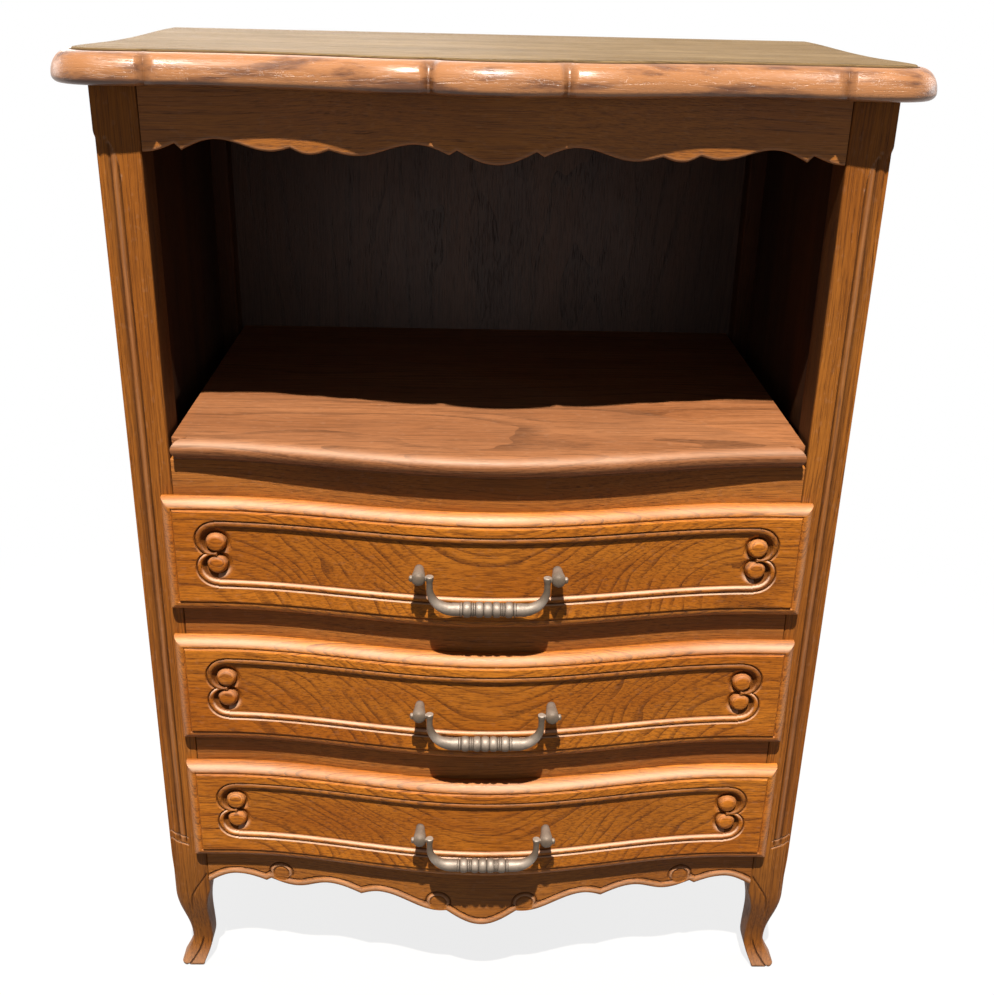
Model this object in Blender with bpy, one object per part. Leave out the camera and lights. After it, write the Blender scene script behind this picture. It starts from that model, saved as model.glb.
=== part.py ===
# A provincial oak bedside chest: an open niche over three serpentine drawers, on cabriole front legs.
# Metres, +Z up, the front faces -Y. The origin is under the middle of the chest, on the floor.
# Inside the model Y is measured from the front faces of the posts, and one empty places the whole.
import math

import bmesh
import bpy
from mathutils import Vector

# Carcass
HEIGHT = 0.725
CARCASS_WIDTH = 0.500
CARCASS_DEPTH = 0.300
POST_WIDTH = 0.029
POST_DEPTH = 0.030
POST_ROUNDING = 0.005
POST_ARRIS = 0.0015
ROUNDING_TOP_STOP = 0.0755
ROUNDING_BOTTOM_STOP = 0.153
STOP_LENGTH = 0.014
FIT = 0.0003

# Cabriole feet
KNEE_HEIGHT = 0.079
ANKLE_HEIGHT = 0.024
ANKLE_SET_BACK = 0.0086
ANKLE_WIDTH = 0.0168
TOE_HEIGHT = 0.003
TOE_WIDTH = 0.019
SOLE_INSET = 0.0015
KNEE_STEPS = 7
TOE_STEPS = 5

# Top board
TOP_THICKNESS = 0.0165
TOP_STEP = 0.0025
TOP_NOSE = 0.0150
TOP_SIDE_REACH = 0.0285
TOP_WAIST = 0.009
TOP_WAIST_PLACE = 0.100
TOP_EAR_PLACE = 0.022
TOP_EAR_CORNER = 0.0285
TOP_EAR_REACH = 0.0295
TOP_EAR_SAG = 0.001
TOP_EAR_CUSP = 0.041
TOP_EAR_CUSP_REACH = 0.0265
TOP_TURN_SHARE = 0.68
TOP_HOLLOW = 0.006
TOP_SWELL = 0.0038
TOP_CENTRE_REACH = 0.059
TOP_CENTRE_CUSP = 0.038
TOP_CENTRE_CUSP_REACH = 0.049
TOP_SIDE_STEPS = 6
TOP_EAR_STEPS = 5
TOP_LOBE_STEPS = 3
TOP_ARC_STEPS = 6
NOSE_STEPS = 8

# Rails
RAIL_THICKNESS = 0.018
TOP_RAIL_SET_BACK = 0.001
TOP_RAIL_DEPTH = 0.0445
TENON_LENGTH = 0.012
TENON_THICKNESS = 0.008
TENON_SHOULDER = 0.007
SIDE_SET_BACK = 0.003
SIDE_TOP_RAIL = 0.045
SIDE_BOTTOM_RAIL = 0.052
SIDE_RAIL_ABOVE_APRON = 0.0125
SIDE_TENON_LENGTH = 0.010
SIDE_TENON_SHOULDER = 0.011
PANEL_THICKNESS = 0.006
PANEL_TONGUE = 0.006
PANEL_FIELD_RISE = 0.0045
PANEL_MARGIN = 0.010
PANEL_BEVEL = 0.024
BACK_THICKNESS = 0.006
BACK_SET_IN = 0.006
BACK_RABBET = 0.0115
BACK_RAIL_HEIGHT = 0.040
BACK_RAIL_THICKNESS = 0.015

# Shelf
SHELF_TOP = 0.475
SHELF_THICKNESS = 0.016
SHELF_END_CLEARANCE = 0.0025
SHELF_END_REACH = 0.0116
SHELF_CENTRE_REACH = 0.0465
SHELF_UNDERCUT = 0.0095
SHELF_ARRIS = 0.0015
SHELF_COVE = 0.010
COVE_STEPS = 4
BEARER_WIDTH = 0.0235
BEARER_HEIGHT = 0.014

# Drawers
DRAWER_COUNT = 3
DRAWERS_BELOW_SHELF = 0.043
DRAWER_PITCH = 0.111
DRAWER_HEIGHT = 0.0875
LIP_OVERLAP = 0.008
BULGE = 0.0235
BULGE_WIDTH = 0.400
LIP_EDGE = 0.003
MOULDING_WIDTH = 0.0093
MOULDING_RISE = 0.0077
OVOLO_WIDTH = 0.0067
OVOLO_RISE = 0.0065
OVOLO_STEPS = 3
FILLET_INSET = 0.0084
FRONT_BACK = 0.014
BOX_CLEARANCE = 0.002
BOX_BACK_CLEARANCE = 0.0204
BOX_WALL = 0.010
BOX_TOP_CLEARANCE = 0.008
BOX_BOTTOM_CLEARANCE = 0.001
BOTTOM_THICKNESS = 0.005
BOTTOM_RISE = 0.006
GROOVE_DEPTH = 0.004
RUNNER_HEIGHT = 0.012

# Bail handles
HANDLE_SPACING = 0.096
HANDLE_ABOVE_MIDDLE = 0.0026
PIVOT_REACH = 0.0126
HEAD_RADIUS = 0.0048
HEAD_SHAPE = ((0.009, 0.78), (0.0045, 0.92), (0.0, 1.0), (-0.003, 0.9), (-0.005, 0.62), (-0.006, 0.3))
COLLAR_RADIUS = 0.0036
COLLAR_THICKNESS = 0.0012
SHANK_RADIUS = 0.002
SHANK_TAIL = 0.006
PIN_RADIUS = 0.0019
PIN_TAIL = 0.0018
BAIL_DROP = 0.0235
BAIL_BEND = 0.014
BAIL_ELBOW = 0.0035
ARM_RADIUS = 0.0022
GRIP_RADIUS = 0.0046
GRIP_SWELL = 0.0015
GRIP_RINGS = 5
GRIP_RING_SPAN = 0.034
GRIP_RING_RELIEF = 0.0006
BEND_STEPS = 4

# Scalloped edges: place from the middle (0) to the post (1), drop below the plain line, and point style
TOP_RAIL_EDGE = (
    (0.0, 0.0038, "round"), (0.110, -0.0044, "sharp"), (0.132, -0.0015, "sharp"),
    (0.226, -0.0074, "round"), (0.391, 0.0, "round"), (0.469, -0.0030, "sharp"),
    (0.525, -0.0001, "round"), (0.580, -0.0040, "sharp"), (0.638, -0.0016, "round"),
    (0.794, -0.0085, "round"), (0.891, -0.0015, "sharp"), (0.910, -0.0055, "sharp"),
    (1.0, 0.0, "round"),
)
APRON_HEIGHT = 0.041
APRON_EDGE = (
    (0.0, 0.0216, "round"), (0.127, 0.0083, "sharp"), (0.156, 0.0090, "round"),
    (0.367, -0.0040, "round"), (0.437, 0.0005, "sharp"), (0.552, -0.0060, "round"),
    (0.679, 0.0004, "round"), (0.771, -0.0051, "sharp"), (0.788, -0.0026, "sharp"),
    (0.900, -0.0089, "round"), (1.0, 0.0, "sharp"),
)
SIDE_EDGE = (
    (0.0, 0.006, "round"), (0.40, -0.004, "sharp"), (0.72, -0.014, "round"), (1.0, -0.004, "sharp"),
)
CURVE_STEPS = 4
SERPENTINE_STEPS = 22

# Finishes: colour, roughness, metallic
OAK = ((0.36, 0.155, 0.045), 0.42, 0.0)
FADED_OAK = ((0.33, 0.215, 0.105), 0.38, 0.0)
INNER_OAK = ((0.20, 0.095, 0.035), 0.60, 0.0)
BOX_WOOD = ((0.42, 0.25, 0.11), 0.65, 0.0)
IRON = ((0.115, 0.098, 0.085), 0.45, 0.85)

# Places that follow from the sizes
HALF_WIDTH = CARCASS_WIDTH / 2
OPENING = HALF_WIDTH - POST_WIDTH
TOP_UNDER = HEIGHT - TOP_THICKNESS
POST_TOP = TOP_UNDER - FIT
REAR_POST_FRONT = CARCASS_DEPTH - POST_DEPTH
TENON_FRONT = (RAIL_THICKNESS - TENON_THICKNESS) / 2
SIDE_OUTER = HALF_WIDTH - SIDE_SET_BACK
SIDE_INNER = SIDE_OUTER - RAIL_THICKNESS
PANEL_INNER = (SIDE_INNER + SIDE_OUTER - PANEL_THICKNESS) / 2
PANEL_OUTER = PANEL_INNER + PANEL_THICKNESS
DRAWER_TOP = SHELF_TOP - DRAWERS_BELOW_SHELF
LAST_DRAWER_LOW = DRAWER_TOP - (DRAWER_COUNT - 1) * DRAWER_PITCH - DRAWER_HEIGHT
APRON_TOP = LAST_DRAWER_LOW + LIP_OVERLAP
SIDE_BOTTOM_RAIL_TOP = APRON_TOP + SIDE_RAIL_ABOVE_APRON
SIDE_TOP_RAIL_LOW = POST_TOP - SIDE_TOP_RAIL
SIDE_BOTTOM_RAIL_LOW = SIDE_BOTTOM_RAIL_TOP - SIDE_BOTTOM_RAIL
BACK_FACE = CARCASS_DEPTH - BACK_SET_IN - BACK_THICKNESS
BACK_RAIL_FRONT = BACK_FACE - FIT - BACK_RAIL_THICKNESS
SHELF_UNDER = SHELF_TOP - SHELF_THICKNESS
SHELF_HALF = OPENING - SHELF_END_CLEARANCE
FACE_REACH = LIP_EDGE + MOULDING_RISE
DRAWER_HALF = OPENING + LIP_OVERLAP
BOX_HALF = OPENING - BOX_CLEARANCE
BOX_FRONT = FRONT_BACK + FIT
BOX_BACK = BACK_RAIL_FRONT - BOX_BACK_CLEARANCE
HEAD_INNER = HANDLE_SPACING / 2 - HEAD_RADIUS
ARM_PLACE = HEAD_INNER - 2 * FIT - ARM_RADIUS


def clear_scene():
    for old in list(bpy.data.objects):
        bpy.data.objects.remove(old, do_unlink=True)


def empty(name, place, parent=None):
    holder = bpy.data.objects.new(name, None)
    holder.location = place
    holder.parent = parent
    bpy.context.collection.objects.link(holder)
    return holder


def finish_of(name, finish):
    colour, roughness, metallic = finish
    made = bpy.data.materials.new(name + "_finish")
    made.use_nodes = True
    shader = made.node_tree.nodes["Principled BSDF"]
    shader.inputs["Base Color"].default_value = (*colour, 1.0)
    shader.inputs["Roughness"].default_value = roughness
    shader.inputs["Metallic"].default_value = metallic
    return made


def loft(name, sections, finish, parent, ladder_caps=False, smooth=False):
    # One closed skin over sections that have the same number of points.
    # A ladder cap joins each point to its partner across the section, for an end that isn't flat.
    count = len(sections[0])
    shape = bmesh.new()
    rows = [[shape.verts.new(point) for point in section] for section in sections]
    for near, far in zip(rows, rows[1:]):
        for i in range(count):
            j = (i + 1) % count
            shape.faces.new((near[i], near[j], far[j], far[i]))
    for row in (rows[0], rows[-1]):
        if ladder_caps:
            for i in range(count // 2 - 1):
                shape.faces.new((row[i], row[i + 1], row[count - 2 - i], row[count - 1 - i]))
        else:
            shape.faces.new(row)
    bmesh.ops.recalc_face_normals(shape, faces=shape.faces)
    mesh = bpy.data.meshes.new(name)
    shape.to_mesh(mesh)
    shape.free()
    if smooth:
        mesh.shade_smooth()
        mesh.set_sharp_from_angle(angle=math.radians(40))
    mesh.materials.append(finish_of(name, finish))
    made = bpy.data.objects.new(name, mesh)
    made.parent = parent
    bpy.context.collection.objects.link(made)
    return made


def rectangle_x(x, front, back, low, high):
    return [Vector((x, front, low)), Vector((x, front, high)), Vector((x, back, high)), Vector((x, back, low))]


def rectangle_y(y, left, right, low, high):
    return [Vector((left, y, low)), Vector((left, y, high)), Vector((right, y, high)), Vector((right, y, low))]


def box(name, x, y, z, finish, parent):
    ends = [rectangle_x(place, y[0], y[1], z[0], z[1]) for place in x]
    return loft(name, ends, finish, parent)


def cut(target, cutter):
    cutter.parent = target.parent
    cutter.hide_render = True
    cutter.display_type = "WIRE"
    boolean = target.modifiers.new("cut_" + cutter.name, "BOOLEAN")
    boolean.operation = "DIFFERENCE"
    boolean.solver = "EXACT"
    boolean.object = cutter


def cut_boxes(target, boxes):
    # One cutter holds all the boxes, each (x range, y range, z range) and clear of the others.
    shape = bmesh.new()
    for x, y, z in boxes:
        made = bmesh.ops.create_cube(shape, size=1.0)["verts"]
        for corner in made:
            for axis, (low, high) in enumerate((x, y, z)):
                corner.co[axis] = high if corner.co[axis] > 0 else low
    bmesh.ops.recalc_face_normals(shape, faces=shape.faces)
    mesh = bpy.data.meshes.new(target.name + "_housings")
    shape.to_mesh(mesh)
    shape.free()
    cutter = bpy.data.objects.new(target.name + "_housings", mesh)
    bpy.context.collection.objects.link(cutter)
    cut(target, cutter)


def grown(ranges, by=FIT):
    return [(low - by, high + by) for low, high in ranges]


def mirrored(ranges, side):
    x, y, z = ranges
    return [tuple(sorted((side * x[0], side * x[1]))), y, z]


def eased(start, end, start_style, end_style, share):
    # A curve between two heights that is level at its round ends and pointed at its sharp ones.
    if start_style == end_style == "sharp":
        step = share
    elif start_style == end_style:
        step = (1 - math.cos(math.pi * share)) / 2
    elif start_style == "sharp":
        step = math.sin(math.pi * share / 2)
    else:
        step = 1 - math.cos(math.pi * share / 2)
    return start + (end - start) * step


def scalloped(keys, half_span):
    # Points (place, drop) along a mirrored scalloped edge, from one end to the other.
    half = [(0.0, keys[0][1])]
    for (a, drop_a, style_a), (b, drop_b, style_b) in zip(keys, keys[1:]):
        steps = 1 if style_a == style_b == "sharp" else CURVE_STEPS
        for step in range(1, steps + 1):
            share = step / steps
            half.append((a + (b - a) * share, eased(drop_a, drop_b, style_a, style_b, share)))
    edge = [(-place, drop) for place, drop in reversed(half[1:])] + half
    return [(place * half_span, drop) for place, drop in edge]


def serpentine(x, rise=BULGE, width=BULGE_WIDTH):
    # How far the swept front stands forward of its ends.
    if abs(x) >= width / 2:
        return 0.0
    return rise * (1 + math.cos(2 * math.pi * x / width)) / 2


def spread(half, steps=SERPENTINE_STEPS):
    return [half * (2 * step / steps - 1) for step in range(steps + 1)]


def tenoned(stations, tenon, length):
    # Adds a stub tenon, (near, far, low, high), at both ends of stations that run along one axis.
    first, last = stations[0], stations[-1]
    start = [(first[0] - length, *tenon), (first[0], *tenon)]
    end = [(last[0], *tenon), (last[0] + length, *tenon)]
    return start + stations + end


# Legs and posts

def leg_profile(z):
    # Set-back of the outer corner and widths along X and Y at a height on the leg.
    if z >= KNEE_HEIGHT:
        return 0.0, POST_WIDTH, POST_DEPTH
    if z >= ANKLE_HEIGHT:
        share = (KNEE_HEIGHT - z) / (KNEE_HEIGHT - ANKLE_HEIGHT)
        back = eased(0.0, ANKLE_SET_BACK, "round", "round", share)
        slim = eased(0.0, 1.0, "sharp", "round", share)
        return (
            back,
            POST_WIDTH + (ANKLE_WIDTH - POST_WIDTH) * slim,
            POST_DEPTH + (ANKLE_WIDTH - POST_DEPTH) * slim,
        )
    if z >= TOE_HEIGHT:
        share = (ANKLE_HEIGHT - z) / (ANKLE_HEIGHT - TOE_HEIGHT)
        back = eased(ANKLE_SET_BACK, 0.0, "round", "sharp", share)
        width = eased(ANKLE_WIDTH, TOE_WIDTH, "round", "sharp", share)
        return back, width, width
    inset = SOLE_INSET * (1 - z / TOE_HEIGHT)
    return inset, TOE_WIDTH - 2 * inset, TOE_WIDTH - 2 * inset


def corner_radius(z):
    # The outer corner is rounded between its two stops and on the foot, and square elsewhere.
    top_stop = POST_TOP - ROUNDING_TOP_STOP
    if z > top_stop or KNEE_HEIGHT < z < ROUNDING_BOTTOM_STOP:
        return POST_ARRIS
    return POST_ROUNDING


def leg_levels():
    top_stop = POST_TOP - ROUNDING_TOP_STOP
    levels = [POST_TOP, top_stop + STOP_LENGTH, top_stop]
    levels += [ROUNDING_BOTTOM_STOP, ROUNDING_BOTTOM_STOP - STOP_LENGTH]
    levels += [KNEE_HEIGHT + (ANKLE_HEIGHT - KNEE_HEIGHT) * step / KNEE_STEPS for step in range(KNEE_STEPS + 1)]
    levels += [ANKLE_HEIGHT + (TOE_HEIGHT - ANKLE_HEIGHT) * step / TOE_STEPS for step in range(1, TOE_STEPS + 1)]
    return levels + [0.0]


def rounded_corner(corner, along_x, along_y, radius, steps=3):
    # Points round a corner, from the edge that runs along X to the edge that runs along Y.
    points = []
    for step in range(steps + 1):
        angle = math.pi / 2 * step / steps
        points.append((
            corner[0] + along_x * radius * (1 - math.sin(angle)),
            corner[1] + along_y * radius * (1 - math.cos(angle)),
        ))
    return points


def leg(name, side, rear, parent):
    sections = []
    for z in leg_levels():
        back, width_x, width_y = leg_profile(z)
        outer_x = HALF_WIDTH - back
        inner_x = outer_x - width_x
        if rear:
            near_y = CARCASS_DEPTH
            far_y = CARCASS_DEPTH - width_y
            radius = POST_ARRIS
        else:
            near_y = back
            far_y = back + width_y
            radius = corner_radius(z)
        inward = 1 if far_y > near_y else -1
        ring = rounded_corner((outer_x, near_y), -1, inward, radius)
        ring += reversed(rounded_corner((outer_x, far_y), -1, -inward, POST_ARRIS, 1))
        ring += rounded_corner((inner_x, far_y), 1, -inward, POST_ARRIS, 1)
        ring += reversed(rounded_corner((inner_x, near_y), 1, inward, POST_ARRIS, 1))
        sections.append([Vector((side * x, y, z)) for x, y in ring])
    return loft(name, sections, OAK, parent, smooth=True)


# Rails of the front, each with its tenon box for the post

def rail_tenon(low, high, front=0.0):
    near = front + TENON_FRONT
    return (near, near + TENON_THICKNESS, low + TENON_SHOULDER, high - TENON_SHOULDER)


def front_rail_specs():
    # Name, low, high, set-back and scallop of every rail between the front posts.
    low = TOP_UNDER - TOP_RAIL_DEPTH
    specs = [("front_top_rail", low, POST_TOP, TOP_RAIL_SET_BACK, TOP_RAIL_EDGE)]
    specs.append(("shelf_rail", DRAWER_TOP - LIP_OVERLAP, SHELF_UNDER - FIT, None, None))
    for index in range(1, DRAWER_COUNT):
        high = DRAWER_TOP - (index - 1) * DRAWER_PITCH - DRAWER_HEIGHT + LIP_OVERLAP
        low = DRAWER_TOP - index * DRAWER_PITCH - LIP_OVERLAP
        specs.append((f"drawer_rail_{index}", low, high, None, None))
    specs.append(("bottom_apron", APRON_TOP - APRON_HEIGHT, APRON_TOP, None, APRON_EDGE))
    return specs


def front_rails(parent):
    half = OPENING - FIT
    for name, low, high, set_back, edge in front_rail_specs():
        if edge:
            places = scalloped(edge, half)
        else:
            places = [(x, 0.0) for x in spread(half)]
        stations = []
        for x, drop in places:
            front = -serpentine(x) if set_back is None else set_back
            back = RAIL_THICKNESS + (set_back or 0.0)
            stations.append((x, front, back, low - drop, high))
        tenon = rail_tenon(low, high, set_back or 0.0)
        stations = tenoned(stations, tenon, TENON_LENGTH)
        loft(name, [rectangle_x(*station) for station in stations], OAK, parent)


def front_mortises():
    boxes = []
    for name, low, high, set_back, edge in front_rail_specs():
        near, far, bottom, top = rail_tenon(low, high, set_back or 0.0)
        reach = (OPENING - POST_ARRIS, OPENING + TENON_LENGTH)
        boxes.append(grown([reach, (near, far), (bottom, top)]))
    return boxes


# Sides and back

def side_rail_tenons():
    inset = (RAIL_THICKNESS - TENON_THICKNESS) / 2
    for low, high in ((SIDE_TOP_RAIL_LOW, POST_TOP), (SIDE_BOTTOM_RAIL_LOW, SIDE_BOTTOM_RAIL_TOP)):
        yield (SIDE_INNER + inset, SIDE_OUTER - inset, low + SIDE_TENON_SHOULDER, high - SIDE_TENON_SHOULDER)


def panel_ranges():
    return (
        (PANEL_INNER, PANEL_OUTER),
        (POST_DEPTH - PANEL_TONGUE, REAR_POST_FRONT + PANEL_TONGUE),
        (SIDE_BOTTOM_RAIL_TOP - PANEL_TONGUE, SIDE_TOP_RAIL_LOW + PANEL_TONGUE),
    )


def side_frame(label, side, parent):
    front, rear = POST_DEPTH + FIT, REAR_POST_FRONT - FIT
    middle, half = (front + rear) / 2, (rear - front) / 2
    tenons = list(side_rail_tenons())
    panel = panel_ranges()
    groove = mirrored(grown(panel), side)
    edges = ([(-half, 0.0), (half, 0.0)], scalloped(SIDE_EDGE, half))
    lows = (SIDE_TOP_RAIL_LOW, SIDE_BOTTOM_RAIL_LOW)
    highs = (POST_TOP, SIDE_BOTTOM_RAIL_TOP)
    for kind, edge, low, high, tenon in zip(("top", "bottom"), edges, lows, highs, tenons):
        stations = [(middle + y, SIDE_INNER, SIDE_OUTER, low - drop, high) for y, drop in edge]
        stations = tenoned(stations, tenon, SIDE_TENON_LENGTH - FIT)
        rings = [rectangle_y(*station) for station in stations]
        for ring in rings:
            for point in ring:
                point.x *= side
        rail = loft(f"side_{kind}_rail_{label}", rings, OAK, parent)
        cut_boxes(rail, [groove])
    loops = []
    for inset, x in (
        (0.0, PANEL_INNER), (0.0, PANEL_OUTER), (PANEL_TONGUE + PANEL_MARGIN, PANEL_OUTER),
        (PANEL_TONGUE + PANEL_MARGIN + PANEL_BEVEL, PANEL_OUTER + PANEL_FIELD_RISE),
    ):
        y = (panel[1][0] + inset, panel[1][1] - inset)
        z = (panel[2][0] + inset, panel[2][1] - inset)
        loops.append(rectangle_x(side * x, y[0], y[1], z[0], z[1]))
    loft(f"side_panel_{label}", loops, OAK, parent)


def back_rail_ranges():
    return (
        ("back_top_rail", POST_TOP - BACK_RAIL_HEIGHT, POST_TOP),
        ("back_bottom_rail", SIDE_BOTTOM_RAIL_TOP - BACK_RAIL_HEIGHT, SIDE_BOTTOM_RAIL_TOP),
    )


def back_tenon(low, high):
    near = BACK_RAIL_FRONT + (BACK_RAIL_THICKNESS - TENON_THICKNESS) / 2
    return (near, near + TENON_THICKNESS, low + TENON_SHOULDER, high - TENON_SHOULDER)


def back_frame(parent):
    half = OPENING - FIT
    for name, low, high in back_rail_ranges():
        stations = [(x, BACK_RAIL_FRONT, BACK_FACE - FIT, low, high) for x in (-half, half)]
        stations = tenoned(stations, back_tenon(low, high), SIDE_TENON_LENGTH)
        loft(name, [rectangle_x(*station) for station in stations], INNER_OAK, parent)
    reach = OPENING + BACK_RABBET - 2 * FIT
    low = SIDE_BOTTOM_RAIL_TOP - BACK_RAIL_HEIGHT
    box("back_panel", (-reach, reach), (BACK_FACE, BACK_FACE + BACK_THICKNESS), (low, POST_TOP), INNER_OAK, parent)


def back_housings():
    low = SIDE_BOTTOM_RAIL_TOP - BACK_RAIL_HEIGHT
    reach = (OPENING - POST_ARRIS, OPENING + BACK_RABBET - FIT)
    beyond = CARCASS_DEPTH + POST_ARRIS
    boxes = [[reach, (BACK_FACE - FIT, beyond), (low - FIT, POST_TOP + POST_ARRIS)]]
    for name, rail_low, rail_high in back_rail_ranges():
        near, far, bottom, top = back_tenon(rail_low, rail_high)
        boxes.append(grown([(OPENING - POST_ARRIS, OPENING + SIDE_TENON_LENGTH), (near, far), (bottom, top)]))
    return boxes


def side_housings():
    # The tenon and panel housings in one front post, then in one rear post.
    front, rear = [], []
    panel = panel_ranges()
    for inner, outer, low, high in side_rail_tenons():
        front.append(grown([(inner, outer), (POST_DEPTH - SIDE_TENON_LENGTH, POST_DEPTH + POST_ARRIS), (low, high)]))
        rear.append(grown([
            (inner, outer), (REAR_POST_FRONT - POST_ARRIS, REAR_POST_FRONT + SIDE_TENON_LENGTH), (low, high),
        ]))
    front.append(grown([panel[0], (panel[1][0], POST_DEPTH + POST_ARRIS), panel[2]]))
    rear.append(grown([panel[0], (REAR_POST_FRONT - POST_ARRIS, panel[1][1]), panel[2]]))
    return front, rear


def posts(parent):
    front_sides, rear_sides = side_housings()
    for label, side in (("left", -1), ("right", 1)):
        front = leg(f"front_leg_{label}", side, False, parent)
        cut_boxes(front, [mirrored(ranges, side) for ranges in front_mortises() + front_sides])
        rear = leg(f"rear_leg_{label}", side, True, parent)
        cut_boxes(rear, [mirrored(ranges, side) for ranges in back_housings() + rear_sides])


# Top board

def arc(start, end, sag, steps):
    # Points after start, up to end, on a shallow arc that stands sag to the right of the way from start to end.
    start, end = Vector(start), Vector(end)
    way = end - start
    out = Vector((way.y, -way.x)).normalized()
    points = []
    for step in range(1, steps + 1):
        share = step / steps
        points.append(start + way * share + out * sag * 4 * share * (1 - share))
    return points


def top_outline():
    # The outer edge in plan, from the back left corner along the left side and the front to the back right corner.
    side = HALF_WIDTH + TOP_SIDE_REACH
    waist = side - TOP_WAIST
    left = [Vector((-side, CARCASS_DEPTH))]
    for start, end, near, far in (
        (side, waist, CARCASS_DEPTH, TOP_WAIST_PLACE), (waist, side, TOP_WAIST_PLACE, TOP_EAR_PLACE),
    ):
        for step in range(1, TOP_SIDE_STEPS + 1):
            share = step / TOP_SIDE_STEPS
            left.append(Vector((-eased(start, end, "round", "round", share), near + (far - near) * share)))
    # The ear turns the corner to its lobe, which ends in a cusp. The edge then swings in and out.
    lobe = Vector((TOP_EAR_CORNER - side, -TOP_EAR_REACH))
    for step in range(1, TOP_EAR_STEPS + 1):
        angle = math.pi / 2 * step / TOP_EAR_STEPS
        left.append(Vector((
            lobe.x + (-side - lobe.x) * math.cos(angle),
            TOP_EAR_PLACE + (lobe.y - TOP_EAR_PLACE) * math.sin(angle),
        )))
    cusp = Vector((TOP_EAR_CUSP - HALF_WIDTH, -TOP_EAR_CUSP_REACH))
    centre = Vector((-TOP_CENTRE_CUSP, -TOP_CENTRE_CUSP_REACH))
    turn = cusp + (centre - cusp) * TOP_TURN_SHARE
    left += arc(lobe, cusp, TOP_EAR_SAG, TOP_LOBE_STEPS)
    left += arc(cusp, turn, -TOP_HOLLOW, TOP_ARC_STEPS)
    left += arc(turn, centre, TOP_SWELL, TOP_ARC_STEPS)
    centre_sag = TOP_CENTRE_REACH - TOP_CENTRE_CUSP_REACH
    middle = arc(centre, (TOP_CENTRE_CUSP, -TOP_CENTRE_CUSP_REACH), centre_sag, TOP_ARC_STEPS)[:-1]
    right = [Vector((-point.x, point.y)) for point in reversed(left)]
    return left + middle + right


def inset_outline(points, inset, back):
    # The outline moved inward along its corner bisectors. The back edge stays where it is.
    count = len(points)
    moved = []
    for i, point in enumerate(points):
        before, after = points[i - 1], points[(i + 1) % count]
        way_in, way_out = (point - before).normalized(), (after - point).normalized()
        inward = Vector((-way_in.y - way_out.y, way_in.x + way_out.x)).normalized()
        if point.y > back - FIT:
            inward = Vector((-math.copysign(1, point.x), 0.0))
            stretch = 1.0
        else:
            stretch = 1 / max(0.5, inward.dot(Vector((-way_in.y, way_in.x))))
        moved.append(point + inward * inset * stretch)
    return moved


def top_board(parent):
    nose_height = TOP_THICKNESS - TOP_STEP
    nose_reach = TOP_NOSE / 2
    profile = [(nose_reach, 0.0)]
    for step in range(1, NOSE_STEPS):
        angle = math.pi * step / NOSE_STEPS
        profile.append((nose_reach * (1 - math.sin(angle)), nose_height * (1 - math.cos(angle)) / 2))
    profile += [(TOP_NOSE - TOP_STEP / 2, nose_height), (TOP_NOSE, TOP_THICKNESS)]
    outline = top_outline()
    sections = []
    for inset, rise in profile:
        ring = inset_outline(outline, inset, CARCASS_DEPTH)
        sections.append([Vector((point.x, point.y, TOP_UNDER + rise)) for point in ring])
    loft("top_board", sections, FADED_OAK, parent, smooth=True)


# Shelf with its moulded nose

def shelf(parent):
    half = SHELF_HALF
    rise = SHELF_CENTRE_REACH - SHELF_END_REACH
    front = [(x, -SHELF_END_REACH - serpentine(x, rise, 2 * half)) for x in spread(half)]
    profile = [(SHELF_ARRIS, 0.0), (0.0, SHELF_ARRIS)]
    for step in range(1, COVE_STEPS + 1):
        angle = math.pi / 2 * step / COVE_STEPS
        profile.append((SHELF_UNDERCUT * (1 - math.cos(angle)), SHELF_ARRIS + SHELF_COVE * math.sin(angle)))
    profile.append((SHELF_UNDERCUT, SHELF_THICKNESS))
    sections = []
    for inset, fall in profile:
        ring = []
        for x, y in front:
            ring.append((max(-half + inset, min(half - inset, x)), y + inset))
        neck = -FIT - POST_ARRIS
        ring += [(half - inset, neck), (half, neck + POST_ARRIS), (half, BACK_FACE - FIT)]
        ring += [(-half, BACK_FACE - FIT), (-half, neck + POST_ARRIS), (-half + inset, neck)]
        sections.append([Vector((x, y, SHELF_TOP - fall)) for x, y in ring])
    loft("shelf", sections, OAK, parent)
    for label, side in (("left", -1), ("right", 1)):
        bearer(f"shelf_bearer_{label}", side, SHELF_UNDER - FIT, BEARER_HEIGHT, parent)


def bearer(name, side, high, height, parent):
    # A square bar along a side, held between the front and rear posts.
    outer = SIDE_INNER - FIT
    x = tuple(sorted((side * (outer - BEARER_WIDTH), side * outer)))
    y = (POST_DEPTH + FIT, REAR_POST_FRONT - FIT)
    box(name, x, y, (high - height, high), INNER_OAK, parent)


# Drawers

def drawer_ring(half_width, low, high, depth_at):
    # A loop round a front: along its upper edge from left to right, and back along its lower edge.
    places = spread(half_width)
    upper = [Vector((x, depth_at(x), high)) for x in places]
    lower = [Vector((x, depth_at(x), low)) for x in reversed(places)]
    return upper + lower


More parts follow.
